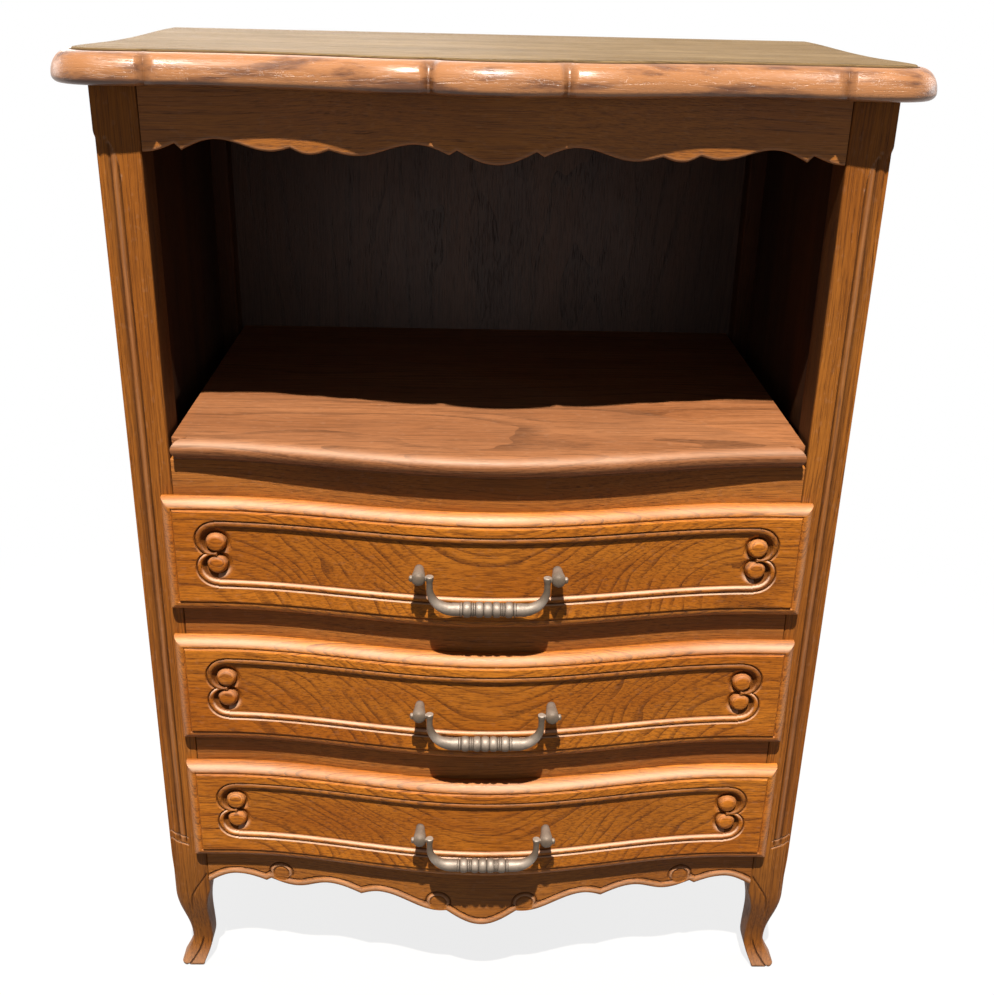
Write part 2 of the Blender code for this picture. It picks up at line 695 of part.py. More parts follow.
def drawer_front(name, parent):
    plug_half = BOX_HALF
    plug_low = LIP_OVERLAP + BOX_BOTTOM_CLEARANCE
    plug_high = DRAWER_HEIGHT - LIP_OVERLAP - BOX_BOTTOM_CLEARANCE
    lip_back = FIT
    rings = [
        drawer_ring(plug_half, plug_low, plug_high, lambda x: FRONT_BACK),
        drawer_ring(plug_half, plug_low, plug_high, lambda x: -serpentine(x) - lip_back),
    ]
    profile = [(0.0, lip_back), (0.0, LIP_EDGE)]
    for step in range(1, OVOLO_STEPS + 1):
        angle = math.pi / 2 * step / OVOLO_STEPS
        profile.append((OVOLO_WIDTH * (1 - math.cos(angle)), LIP_EDGE + OVOLO_RISE * math.sin(angle)))
    profile.append((FILLET_INSET, LIP_EDGE + OVOLO_RISE))
    profile.append((MOULDING_WIDTH, FACE_REACH))
    for inset, reach in profile:
        half = DRAWER_HALF - inset
        rings.append(drawer_ring(half, inset, DRAWER_HEIGHT - inset, lambda x: -serpentine(x) - reach))
    return loft(name, rings, OAK, parent, ladder_caps=True)


def drawer_box(label, parent):
    # Two sides, a back and a bottom let into grooves, behind the front.
    low = LIP_OVERLAP + BOX_BOTTOM_CLEARANCE
    high = DRAWER_HEIGHT - LIP_OVERLAP - BOX_TOP_CLEARANCE
    near, far = BOX_FRONT, BOX_BACK
    inner = BOX_HALF - BOX_WALL
    floor_low = low + BOTTOM_RISE
    floor_high = floor_low + BOTTOM_THICKNESS
    slot = inner + GROOVE_DEPTH
    for name, side in (("left", -1), ("right", 1)):
        outline = [
            (inner, low), (BOX_HALF, low), (BOX_HALF, high), (inner, high),
            (inner, floor_high + FIT), (slot, floor_high + FIT), (slot, floor_low - FIT), (inner, floor_low - FIT),
        ]
        ends = [[Vector((side * x, y, z)) for x, z in outline] for y in (near, far)]
        loft(f"{label}_side_{name}", ends, BOX_WOOD, parent)
    reach = slot - FIT
    box(f"{label}_bottom", (-reach, reach), (near, far), (floor_low, floor_high), BOX_WOOD, parent)
    across = inner - FIT
    box(
        f"{label}_back", (-across, across), (far - BOX_WALL, far), (floor_high + FIT, high), BOX_WOOD, parent,
    )


def turned(name, stations, axis, finish, parent, sides=12):
    # A turned piece: circles of (place along the axis, radius) about "x" or "y".
    sections = []
    for place, radius in stations:
        ring = []
        for step in range(sides):
            angle = 2 * math.pi * (step + 0.5) / sides
            across, up = radius * math.cos(angle), radius * math.sin(angle)
            ring.append(Vector((place, across, up)) if axis == "x" else Vector((across, place, up)))
        sections.append(ring)
    return loft(name, sections, finish, parent, smooth=True)


def handle_post(name, face_to_back, parent):
    # A turned stud: threaded shank through the front, collar on the face, and egg-shaped head for the pin.
    stations = [
        (face_to_back + SHANK_TAIL, SHANK_RADIUS), (-FIT, SHANK_RADIUS),
        (-FIT, COLLAR_RADIUS), (-COLLAR_THICKNESS, COLLAR_RADIUS),
        (-2 * COLLAR_THICKNESS, HEAD_SHAPE[0][1] * HEAD_RADIUS),
    ]
    stations += [(place - PIVOT_REACH, share * HEAD_RADIUS) for place, share in HEAD_SHAPE]
    return turned(name, stations, "y", IRON, parent)


def bail_path():
    # Half of the bail from the middle of the grip to the pin's end: (x, z, radius).
    points = []
    grip_end = ARM_PLACE - BAIL_BEND
    ring_half = GRIP_RING_SPAN / 2
    steps = GRIP_RINGS * 4
    for step in range(steps // 2 + 1):
        x = ring_half * step / (steps // 2)
        relief = GRIP_RING_RELIEF * math.cos(2 * math.pi * GRIP_RINGS * x / GRIP_RING_SPAN)
        points.append((x, -BAIL_DROP, GRIP_RADIUS + GRIP_SWELL + relief))
    points.append((grip_end, -BAIL_DROP, GRIP_RADIUS))
    for step in range(1, BEND_STEPS + 1):
        angle = math.pi / 2 * step / BEND_STEPS
        slim = GRIP_RADIUS + (ARM_RADIUS - GRIP_RADIUS) * step / BEND_STEPS
        points.append((
            grip_end + BAIL_BEND * math.sin(angle), -BAIL_DROP + BAIL_BEND * (1 - math.cos(angle)), slim,
        ))
    for step in range(BEND_STEPS + 1):
        angle = math.pi / 2 * step / BEND_STEPS
        slim = ARM_RADIUS + (PIN_RADIUS - ARM_RADIUS) * step / BEND_STEPS
        points.append((
            ARM_PLACE + BAIL_ELBOW * (1 - math.cos(angle)), BAIL_ELBOW * (math.sin(angle) - 1), slim,
        ))
    points.append((HANDLE_SPACING / 2 + HEAD_RADIUS + PIN_TAIL, 0.0, PIN_RADIUS))
    return points


def bail(name, parent, sides=8):
    half = bail_path()
    path = [(-x, z, radius) for x, z, radius in reversed(half[1:])] + half
    sections = []
    for i, (x, z, radius) in enumerate(path):
        before, after = path[max(0, i - 1)], path[min(len(path) - 1, i + 1)]
        way = Vector((after[0] - before[0], 0.0, after[1] - before[1])).normalized()
        across = Vector((-way.z, 0.0, way.x))
        ring = []
        for step in range(sides):
            angle = 2 * math.pi * step / sides
            out = across * math.cos(angle) + Vector((0.0, 1.0, 0.0)) * math.sin(angle)
            ring.append(Vector((x, 0.0, z)) + out * radius)
        sections.append(ring)
    return loft(name, sections, IRON, parent, smooth=True)


def drawer(index, parent):
    label = f"drawer_{index}"
    low = DRAWER_TOP - (index - 1) * DRAWER_PITCH - DRAWER_HEIGHT
    carrier = empty(f"{label}_slide", (0.0, 0.0, low), parent)
    front = drawer_front(f"{label}_front", carrier)
    drawer_box(label, carrier)
    place_x = HANDLE_SPACING / 2
    face = -serpentine(place_x - COLLAR_RADIUS) - FACE_REACH
    middle = DRAWER_HEIGHT / 2 + HANDLE_ABOVE_MIDDLE
    pivot = face - PIVOT_REACH
    hole_radius = SHANK_RADIUS + FIT
    for name, side in (("left", -1), ("right", 1)):
        foot = Vector((side * place_x, face, middle))
        post = handle_post(f"{label}_handle_post_{name}", FRONT_BACK - face, carrier)
        post.location = foot
        drill = turned(
            f"{label}_post_hole_{name}", [(FRONT_BACK - face + FIT, hole_radius), (-BULGE, hole_radius)],
            "y", IRON, carrier,
        )
        drill.location = foot
        cut(front, drill)
        bore = turned(
            f"{label}_pin_hole_{name}", [(-2 * HEAD_RADIUS, PIN_RADIUS + FIT), (2 * HEAD_RADIUS, PIN_RADIUS + FIT)],
            "x", IRON, carrier,
        )
        bore.location = (foot.x, pivot, foot.z)
        cut(post, bore)
    swinging = bail(f"{label}_bail", carrier)
    swinging.location = (0.0, pivot, middle)
    for name, side in (("left", -1), ("right", 1)):
        runner_top = low + LIP_OVERLAP + BOX_BOTTOM_CLEARANCE - FIT
        bearer(f"{label}_runner_{name}", side, runner_top, RUNNER_HEIGHT, parent)


def build():
    clear_scene()
    root = empty("bedside_chest", (0.0, (TOP_CENTRE_REACH - CARCASS_DEPTH) / 2, 0.0))
    posts(root)
    front_rails(root)
    for label, side in (("left", -1), ("right", 1)):
        side_frame(label, side, root)
    back_frame(root)
    top_board(root)
    shelf(root)
    for index in range(1, DRAWER_COUNT + 1):
        drawer(index, root)


build()
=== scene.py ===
import math

import bmesh
import bpy
import numpy as np
from mathutils import Matrix, Vector


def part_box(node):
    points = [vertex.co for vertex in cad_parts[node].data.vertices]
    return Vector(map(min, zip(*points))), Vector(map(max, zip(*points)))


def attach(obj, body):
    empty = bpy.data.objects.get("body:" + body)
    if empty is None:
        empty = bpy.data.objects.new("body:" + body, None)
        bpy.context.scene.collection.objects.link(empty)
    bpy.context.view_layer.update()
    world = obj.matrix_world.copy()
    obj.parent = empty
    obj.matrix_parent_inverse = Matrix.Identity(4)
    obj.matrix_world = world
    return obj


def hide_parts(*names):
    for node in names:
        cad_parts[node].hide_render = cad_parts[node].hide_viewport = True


# A provincial oak bedside chest, dressed over its frame. Metres, the front faces -Y.
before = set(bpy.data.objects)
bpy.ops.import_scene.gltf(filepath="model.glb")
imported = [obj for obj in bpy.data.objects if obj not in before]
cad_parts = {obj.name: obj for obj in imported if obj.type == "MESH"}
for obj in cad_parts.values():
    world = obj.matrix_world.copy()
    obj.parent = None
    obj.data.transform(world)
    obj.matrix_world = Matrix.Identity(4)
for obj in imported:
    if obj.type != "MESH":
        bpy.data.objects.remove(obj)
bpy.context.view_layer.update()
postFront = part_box("front_leg_left")[0].y   # the plane that all front depths are measured from
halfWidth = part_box("front_leg_right")[1].x
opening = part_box("front_leg_right")[0].x
drawerNumbers = (1, 2, 3)
print("frame loaded")


# Helpers for node trees

def addNode(tree, kind, **values):
    node = tree.nodes.new(kind)
    for key, value in values.items():
        setattr(node, key, value)
    return node


def feed(tree, socket, value):
    # a socket takes another node's output or a plain value
    if isinstance(value, bpy.types.NodeSocket):
        tree.links.new(value, socket)
    else:
        socket.default_value = value


def mathNode(tree, operation, *values, clamp=False):
    node = addNode(tree, "ShaderNodeMath", operation=operation, use_clamp=clamp)
    for socket, value in zip(node.inputs, values):
        feed(tree, socket, value)
    return node.outputs[0]


def mixedShaders(tree, share, first, second):
    node = addNode(tree, "ShaderNodeMixShader")
    for socket, source in zip(node.inputs, (share, first, second)):
        tree.links.new(source, socket)
    return node.outputs[0]


def colourMix(tree, share, first, second):
    node = addNode(tree, "ShaderNodeMix", data_type="RGBA")
    feed(tree, node.inputs["Factor"], share)
    sockets = [socket for socket in node.inputs if socket.type == "RGBA"]
    for socket, value in zip(sockets, (first, second)):
        feed(tree, socket, value if isinstance(value, bpy.types.NodeSocket) else (*value, 1.0))
    return [socket for socket in node.outputs if socket.type == "RGBA"][0]


def noiseNode(tree, vector, size, detail, roughness):
    noise = addNode(tree, "ShaderNodeTexNoise", noise_dimensions="3D")
    noise.inputs["Scale"].default_value = size
    noise.inputs["Detail"].default_value = detail
    noise.inputs["Roughness"].default_value = roughness
    tree.links.new(vector, noise.inputs["Vector"])
    return noise.outputs["Fac"]


def scaledNoise(tree, vector, scale, size, detail=2.0, roughness=0.5, offset=(0.0, 0.0, 0.0)):
    mapping = addNode(tree, "ShaderNodeMapping")
    mapping.inputs["Scale"].default_value = scale
    mapping.inputs["Location"].default_value = offset
    tree.links.new(vector, mapping.inputs["Vector"])
    return noiseNode(tree, mapping.outputs["Vector"], size, detail, roughness)


def figureNoise(tree, spot, scale, detail, roughness):
    # noise on a spot whose three parts are worked out by nodes
    joined = addNode(tree, "ShaderNodeCombineXYZ")
    for socket, value, factor in zip(joined.inputs, spot, scale):
        tree.links.new(mathNode(tree, "MULTIPLY", value, factor), socket)
    return noiseNode(tree, joined.outputs[0], 1.0, detail, roughness)


def stepped(tree, value, low, high, toLow=0.0, toHigh=1.0):
    node = addNode(tree, "ShaderNodeMapRange", interpolation_type="SMOOTHSTEP")
    feed(tree, node.inputs["Value"], value)
    node.inputs["From Min"].default_value = low
    node.inputs["From Max"].default_value = high
    node.inputs["To Min"].default_value = toLow
    node.inputs["To Max"].default_value = toHigh
    return node.outputs["Result"]


def attribute(tree, name):
    node = addNode(tree, "ShaderNodeAttribute", attribute_type="GEOMETRY", attribute_name=name)
    return node.outputs["Fac"]


def addBump(tree, shader, height, strength, distance):
    bump = addNode(tree, "ShaderNodeBump")
    bump.inputs["Strength"].default_value = strength
    bump.inputs["Distance"].default_value = distance
    tree.links.new(height, bump.inputs["Height"])
    tree.links.new(bump.outputs["Normal"], shader.inputs["Normal"])


# Camera, light and floor

cameraLook = {
    "place": (-0.014842, -0.895529, 0.768367),
    "yaw": 0.0263, "pitch": 0.4083, "roll": -0.0237,
    "focalPixels": 1200.6, "imageWidth": 994, "sensor": 36.0,
}


def makeCamera(look):
    yaw, pitch, roll = look["yaw"], look["pitch"], look["roll"]
    ahead = Vector((math.sin(yaw) * math.cos(pitch), math.cos(yaw) * math.cos(pitch), -math.sin(pitch)))
    level = Vector((math.cos(yaw), -math.sin(yaw), 0.0))
    below = ahead.cross(level)
    right = level * math.cos(roll) + below * math.sin(roll)
    down = below * math.cos(roll) - level * math.sin(roll)
    data = bpy.data.cameras.new("camera")
    data.sensor_fit = "HORIZONTAL"
    data.sensor_width = look["sensor"]
    data.lens = look["sensor"] * look["focalPixels"] / look["imageWidth"]
    data.clip_start = 0.01
    camera = bpy.data.objects.new("camera", data)
    turn = Matrix((right, -down, -ahead)).transposed().to_4x4()
    camera.matrix_world = Matrix.Translation(look["place"]) @ turn
    bpy.context.scene.collection.objects.link(camera)
    bpy.context.scene.camera = camera


lampLooks = (
    # name, place, what it looks at, size, watts, colour
    ("keyLamp", (-0.173, -2.703, 5.852), (0.0, -0.16, 0.42), 0.10, 800.0, (1.0, 0.955, 0.89)),
    ("frontFill", (0.9, -2.2, 0.9), (0.0, 0.0, 0.38), 1.8, 0.6, (1.0, 0.98, 0.96)),
    ("backFill", (-0.6, 2.1, 1.5), (0.0, 0.1, 0.35), 1.6, 20.0, (1.0, 0.98, 0.96)),
    ("leftFill", (-2.2, 0.75, 1.1), (-0.25, 0.05, 0.38), 1.2, 14.0, (1.0, 0.98, 0.96)),
    ("rightFill", (2.2, 0.75, 1.1), (0.25, 0.05, 0.38), 1.2, 14.0, (1.0, 0.98, 0.96)),
)
roomLook = {
    "dome": 0.08, "domeColour": (0.90, 1.0, 1.15),
    "floor": (0.60, 0.59, 0.575), "floorSize": 9.0,
    "bounce": (0.08, 0.079, 0.077),   # what the floor throws back under the chest
    "shadowReach": (0.35, 0.95), "glow": 0.82,   # the floor turns fully white between these distances
}


def makeLamps(looks):
    for name, place, target, size, watts, colour in looks:
        data = bpy.data.lights.new(name, "AREA")
        data.shape = "DISK"
        data.size = size
        data.energy = watts
        data.color = colour
        lamp = bpy.data.objects.new(name, data)
        lamp.location = place
        lamp.rotation_euler = (Vector(target) - Vector(place)).to_track_quat("-Z", "Y").to_euler()
        bpy.context.scene.collection.objects.link(lamp)


def seenDirectly(tree):
    # 1 for rays that show a background: camera, glossy and transmission rays
    path = addNode(tree, "ShaderNodeLightPath")
    seen = mathNode(tree, "MAXIMUM", path.outputs["Is Camera Ray"], path.outputs["Is Glossy Ray"])
    return mathNode(tree, "MAXIMUM", seen, path.outputs["Is Transmission Ray"])


def makeDome(look):
    world = bpy.data.worlds.new("studio")
    world.use_nodes = True
    bpy.context.scene.world = world
    tree = world.node_tree
    tree.nodes.clear()
    lights = []
    for colour, strength in ((look["domeColour"], look["dome"]), ((1.0, 1.0, 1.0), 1.0)):
        light = addNode(tree, "ShaderNodeBackground")
        light.inputs["Color"].default_value = (*colour, 1.0)
        light.inputs["Strength"].default_value = strength
        lights.append(light.outputs[0])
    shown = mixedShaders(tree, seenDirectly(tree), *lights)
    tree.links.new(shown, addNode(tree, "ShaderNodeOutputWorld").inputs["Surface"])


def floorPaper(look):
    paper = bpy.data.materials.new("floorPaper")
    paper.use_nodes = True
    tree = paper.node_tree
    tree.nodes.clear()
    matt = addNode(tree, "ShaderNodeBsdfDiffuse")
    matt.inputs["Color"].default_value = (*look["floor"], 1.0)
    glow = addNode(tree, "ShaderNodeEmission")
    glow.inputs["Strength"].default_value = 1.0
    # the paper turns fully white away from the chest, and keeps the shadow near it
    away = addNode(tree, "ShaderNodeVectorMath", operation="LENGTH")
    tree.links.new(addNode(tree, "ShaderNodeTexCoord").outputs["Object"], away.inputs[0])
    spread = stepped(tree, away.outputs["Value"], *look["shadowReach"], look["glow"], 1.0)
    pale = mixedShaders(tree, spread, matt.outputs[0], glow.outputs[0])
    bounce = addNode(tree, "ShaderNodeBsdfDiffuse")
    bounce.inputs["Color"].default_value = (*look["bounce"], 1.0)
    shown = mixedShaders(tree, seenDirectly(tree), bounce.outputs[0], pale)
    tree.links.new(shown, addNode(tree, "ShaderNodeOutputMaterial").inputs["Surface"])
    return paper


def makeFloor(look):
    size = look["floorSize"]
    mesh = bpy.data.meshes.new("floor")
    corners = [(-size, -size, 0), (size, -size, 0), (size, size, 0), (-size, size, 0)]
    mesh.from_pydata(corners, [], [(0, 1, 2, 3)])
    mesh.materials.append(floorPaper(look))
    floor = bpy.data.objects.new("floor", mesh)
    bpy.context.scene.collection.objects.link(floor)


makeCamera(cameraLook)
makeLamps(lampLooks)
makeDome(roomLook)
makeFloor(roomLook)
bpy.context.scene.view_settings.view_transform = "Standard"
print("camera, lamps and floor made")


# Finishes

grainTurns = {
    "x": (0.0, 0.0, 0.0),
    "y": (0.0, 0.0, -math.pi / 2),
    "z": (0.0, math.pi / 2, 0.0),
}
oakTones = {
    "light": (0.620, 0.205, 0.020), "mid": (0.430, 0.118, 0.009), "dark": (0.112, 0.028, 0.005),
    # the stain colour serves dark stain and painted shade, the wear colour pale wear and painted highlights
    "pore": (0.050, 0.014, 0.004), "stainAndShade": (0.022, 0.008, 0.004), "wearAndHighlight": (0.800, 0.520, 0.350),
    "wornDark": None,      # dark patches in the worn places
    "wornLeast": 0.55,     # how much of the wear shows where it is least
    "ring": 0.0034,        # mean width of a growth ring
    "ringDark": 0.45,      # share of a ring that is dark spring wood
    "ringShare": 0.62,
    "heart": (0.055, 0.038),   # how far the heart of the log lies from the board's middle
    "sway": 0.012,         # how far the rings wander along the board
    "fibreRun": 16.0, "poreRun": 80.0,   # fibres and pores in a metre along the board
    "fleck": 0.04, "poreShare": 0.70, "rough": (0.40, 0.54), "wornRough": 0.32, "gloss": 0.15,
    "wornGloss": None,     # the gloss of the worn places, where it differs
    "grime": 0.22, "bump": (0.45, 0.00035),   # strength and height of the grain
}


def ringSpot(tree, board, look):
    # the way along the board, the distance from the heart of the log and a way across
    swayA = scaledNoise(tree, board, (3.2, 14.0, 14.0), 1.0, 2.0, 0.55)
    swayB = scaledNoise(tree, board, (2.6, 11.0, 11.0), 1.0, 2.0, 0.5, (7.3, 1.9, 4.1))
    split = addNode(tree, "ShaderNodeSeparateXYZ")
    tree.links.new(board, split.inputs[0])
    fromHeart = []
    for sway, heart, axis in zip((swayA, swayB), look["heart"], "YZ"):
        shift = mathNode(tree, "MULTIPLY_ADD", sway, 2 * look["sway"], heart - look["sway"])
        fromHeart.append(mathNode(tree, "ADD", shift, split.outputs[axis]))
    square = mathNode(tree, "MULTIPLY", fromHeart[0], fromHeart[0])
    square = mathNode(tree, "MULTIPLY_ADD", fromHeart[1], fromHeart[1], square)
    sideways = mathNode(tree, "ADD", split.outputs["Y"], split.outputs["Z"])
    return split.outputs["X"], mathNode(tree, "SQRT", square), sideways


def oakFigure(tree, board, look):
    # rings, fibres and pores are noise on the same spot, so they follow the figure
    spot = ringSpot(tree, board, look)
    perRing = 1.0 / look["ring"]
    rings = figureNoise(tree, spot, (5.0, perRing, 30.0), 3.0, 0.58)
    warp = figureNoise(tree, spot, (4.0, 0.22 * perRing, 10.0), 2.0, 0.5)
    phase = mathNode(tree, "MULTIPLY_ADD", spot[1], perRing, mathNode(tree, "MULTIPLY", warp, 5.0))
    phase = mathNode(tree, "FRACT", phase)
    early = stepped(tree, phase, 0.0, look["ringDark"], 1.0, 0.0)   # the open-pored spring wood
    early = mathNode(tree, "MULTIPLY", early, stepped(tree, rings, 0.34, 0.62, 0.12, 1.0))
    fibre = figureNoise(tree, spot, (look["fibreRun"], 1150.0, 900.0), 3.0, 0.62)
    pores = figureNoise(tree, spot, (look["poreRun"], 1900.0, 1700.0), 1.0, 0.5)
    pores = stepped(tree, pores, 0.54, 0.66)
    pores = mathNode(tree, "MULTIPLY", pores, mathNode(tree, "MULTIPLY_ADD", early, 0.7, 0.35, clamp=True))
    return early, fibre, pores


def oakColour(tree, board, look, figure, handled):
    # the colour of the board, how deep the stain and painted shade lie on it, and where wear and painted
    # highlights show
    early, fibre, pores = figure
    rays = scaledNoise(tree, board, (190.0, 330.0, 330.0), 1.0, 1.0, 0.4, (2.0, 5.0, 9.0))
    rays = mathNode(tree, "MULTIPLY", stepped(tree, rays, 0.62, 0.72), look["fleck"])
    slow = scaledNoise(tree, board, (5.0, 26.0, 26.0), 1.0, 3.0, 0.55, (1.0, 2.0, 3.0))
    colour = colourMix(tree, stepped(tree, slow, 0.28, 0.74), look["mid"], look["light"])
    colour = colourMix(tree, mathNode(tree, "MULTIPLY", early, look["ringShare"]), colour, look["dark"])
    colour = colourMix(tree, stepped(tree, fibre, 0.44, 0.66, 0.0, 0.60), colour, look["dark"])
    colour = colourMix(tree, rays, colour, look["wearAndHighlight"])
    colour = colourMix(tree, mathNode(tree, "MULTIPLY", pores, look["poreShare"]), colour, look["pore"])
    colour = colourMix(tree, stepped(tree, handled, 0.50, 0.78, 0.0, look["grime"]), colour, look["dark"])
    patches = stepped(tree, handled, 0.30, 0.62, look["wornLeast"], 1.0)
    # worn places and painted highlights take the pale wear colour
    wornAndLitColour = look["wearAndHighlight"]
    if look["wornDark"]:
        streaks = scaledNoise(tree, board, (16.0, 60.0, 110.0), 1.0, 4.0, 0.62, (4.0, 8.0, 2.0))
        wornAndLitColour = colourMix(tree, stepped(tree, streaks, 0.46, 0.68), look["wearAndHighlight"], look["wornDark"])
    colour = colourMix(tree, mathNode(tree, "MULTIPLY", attribute(tree, "wearAndHighlight"), patches), colour, wornAndLitColour)
    patches = stepped(tree, slow, 0.15, 0.75, 0.80, 1.0)
    deep = mathNode(tree, "MULTIPLY", attribute(tree, "stainAndShade"), patches)
    return colourMix(tree, deep, colour, look["stainAndShade"]), deep


def oakFinish(name, grain, offset=(0.0, 0.0, 0.0), **changes):
    look = {**oakTones, **changes}
    finish = bpy.data.materials.new(name)
    finish.use_nodes = True
    tree = finish.node_tree
    shader = tree.nodes["Principled BSDF"]
    along = addNode(tree, "ShaderNodeMapping")
    along.inputs["Rotation"].default_value = grainTurns[grain]
    along.inputs["Location"].default_value = offset
    tree.links.new(addNode(tree, "ShaderNodeTexCoord").outputs["Object"], along.inputs["Vector"])
    board = along.outputs["Vector"]   # the grain runs along its X
    figure = oakFigure(tree, board, look)
    early, fibre, pores = figure
    handled = scaledNoise(tree, board, (11.0, 11.0, 11.0), 1.0, 4.0, 0.6, (9.0, 3.0, 6.0))
    colour, deep = oakColour(tree, board, look, figure, handled)
    tree.links.new(colour, shader.inputs["Base Color"])
    wearAndHighlight = attribute(tree, "wearAndHighlight")
    rough = mathNode(tree, "MULTIPLY_ADD", handled, look["rough"][1] - look["rough"][0], look["rough"][0])
    rough = mathNode(tree, "MULTIPLY_ADD", pores, 0.22, rough)
    rough = mathNode(tree, "MULTIPLY_ADD", deep, 0.18, rough, clamp=True)
    polish = mathNode(tree, "SUBTRACT", look["wornRough"], rough)
    rough = mathNode(tree, "MULTIPLY_ADD", polish, wearAndHighlight, rough, clamp=True)
    tree.links.new(rough, shader.inputs["Roughness"])
    height = mathNode(tree, "MULTIPLY_ADD", pores, -0.9, mathNode(tree, "MULTIPLY", early, -0.35))
    addBump(tree, shader, mathNode(tree, "MULTIPLY_ADD", fibre, -0.30, height), *look["bump"])
    gloss = look["gloss"]
    if look["wornGloss"] is not None:
        gloss = mathNode(tree, "MULTIPLY_ADD", wearAndHighlight, look["wornGloss"] - gloss, gloss)
    feed(tree, shader.inputs["Specular IOR Level"], gloss)
    return finish


ironLook = {
    "dull": (0.112, 0.082, 0.056), "brown": (0.150, 0.103, 0.068), "bright": (0.380, 0.310, 0.250),
    "crust": (0.075, 0.060, 0.048), "metal": 0.38, "bump": (0.35, 0.0003),
}


def ironFinish(name, look):
    finish = bpy.data.materials.new(name)
    finish.use_nodes = True
    tree = finish.node_tree
    shader = tree.nodes["Principled BSDF"]
    place = addNode(tree, "ShaderNodeTexCoord").outputs["Object"]
    blotch = scaledNoise(tree, place, (1.0, 1.0, 1.0), 130.0, 4.0, 0.65)
    grit = scaledNoise(tree, place, (1.0, 1.0, 1.0), 1500.0, 3.0, 0.6)
    colour = colourMix(tree, stepped(tree, blotch, 0.35, 0.68), look["dull"], look["brown"])
    colour = colourMix(tree, stepped(tree, grit, 0.50, 0.70, 0.0, 0.5), colour, look["crust"])
    patches = stepped(tree, blotch, 0.30, 0.60, 0.55, 1.0)
    # rubbed places turn bright; on the bail and post tops this is also a painted highlight
    rubbed = mathNode(tree, "MULTIPLY", attribute(tree, "wearAndHighlight"), patches)
    colour = colourMix(tree, rubbed, colour, look["bright"])
    colour = colourMix(tree, attribute(tree, "stainAndShade"), colour, look["crust"])
    tree.links.new(colour, shader.inputs["Base Color"])
    rough = mathNode(tree, "MULTIPLY_ADD", grit, 0.22, 0.50)
    tree.links.new(mathNode(tree, "MULTIPLY_ADD", rubbed, -0.12, rough), shader.inputs["Roughness"])
    addBump(tree, shader, mathNode(tree, "MULTIPLY_ADD", blotch, 0.7, grit), *look["bump"])
    shader.inputs["Metallic"].default_value = look["metal"]
    return finish


# the boards inside the niche get a very dark tone: painted shade
innerShadeTones = {
    "light": (0.110, 0.062, 0.042), "mid": (0.070, 0.040, 0.030), "dark": (0.032, 0.019, 0.015),
    "pore": (0.014, 0.009, 0.007), "stainAndShade": (0.012, 0.006, 0.004), "wearAndHighlight": (0.20, 0.11, 0.06),
    "rough": (0.50, 0.66), "ring": 0.0065, "gloss": 0.45,
}
boxTones = {
    "light": (0.50, 0.335, 0.170), "mid": (0.395, 0.245, 0.115), "dark": (0.235, 0.130, 0.055),
    "pore": (0.130, 0.072, 0.032), "stainAndShade": (0.110, 0.060, 0.030), "wearAndHighlight": (0.58, 0.42, 0.24),
    "rough": (0.58, 0.72), "fleck": 0.2,
}
topTones = {
    "light": (0.255, 0.166, 0.074), "mid": (0.180, 0.110, 0.043), "dark": (0.046, 0.028, 0.011),
    "pore": (0.030, 0.018, 0.009), "wearAndHighlight": (0.375, 0.155, 0.053), "stainAndShade": (0.045, 0.018, 0.008),
    "wornDark": (0.125, 0.044, 0.015), "wornLeast": 1.0,
    "rough": (0.52, 0.66), "wornRough": 0.30, "gloss": 0.10, "wornGloss": 0.50,
    "ring": 0.0036, "heart": (0.20, 0.09), "sway": 0.010, "ringShare": 0.60,
}
shelfTones = {
    "light": (0.350, 0.137, 0.052), "mid": (0.255, 0.092, 0.032), "dark": (0.105, 0.036, 0.012),
    "ring": 0.0036, "heart": (0.09, 0.10), "sway": 0.012,
}
postTones = {
    "light": (0.430, 0.150, 0.022), "mid": (0.300, 0.092, 0.012), "dark": (0.105, 0.030, 0.006),
    "heart": (0.10, 0.07), "ring": 0.0036, "ringShare": 0.42,
}
railTones = {
    "light": (0.450, 0.158, 0.026), "mid": (0.310, 0.096, 0.014), "dark": (0.110, 0.032, 0.007),
    "heart": (0.09, 0.05), "ring": 0.0036, "ringShare": 0.42,
}

# the fronts are cut from the outside of a thick plank, so the rings run down the bulge in long bows
frontTones = {"ring": 0.0017, "sway": 0.0046, "ringShare": 0.70, "fibreRun": 60.0, "poreRun": 230.0}
drawerFinishes = {
    1: oakFinish("oakDrawer1", "x", (0.31, 0.0, 0.0), heart=(-0.1415, -0.332), **frontTones),
    2: oakFinish("oakDrawer2", "x", (1.27, 0.0, 0.0), heart=(-0.1215, -0.228), **frontTones),
    3: oakFinish("oakDrawer3", "x", (2.45, 0.0, 0.0), heart=(-0.1615, -0.104), **frontTones),
}
postFinish = oakFinish("oakPost", "z", (0.4, 0.0, 0.3), **postTones)
railFinish = oakFinish("oakRail", "x", (0.9, 0.0, 0.0), **railTones)
headRailFinish = oakFinish("oakHeadRail", "x", (0.9, 0.0, 0.0), gloss=0.30, **railTones)
topFinish = oakFinish("oakTop", "x", (0.2, 0.0, -0.6), **topTones)
shelfFinish = oakFinish("oakShelf", "x", (0.7, 0.0, -0.4), **shelfTones)
sideFinish = oakFinish("oakSide", "z", (0.1, 0.0, 0.2), **postTones)
sideRailFinish = oakFinish("oakSideRail", "y", (0.6, 0.2, 0.1), **railTones)
innerUpright = oakFinish("oakInnerUpright", "z", (0.2, 0.1, 0.0), heart=(0.03, 0.02), **innerShadeTones)
innerAlong = oakFinish("oakInnerAlong", "x", (0.5, 0.1, 0.0), **innerShadeTones)
innerDeep = oakFinish("oakInnerDeep", "y", (0.3, 0.1, 0.0), **innerShadeTones)
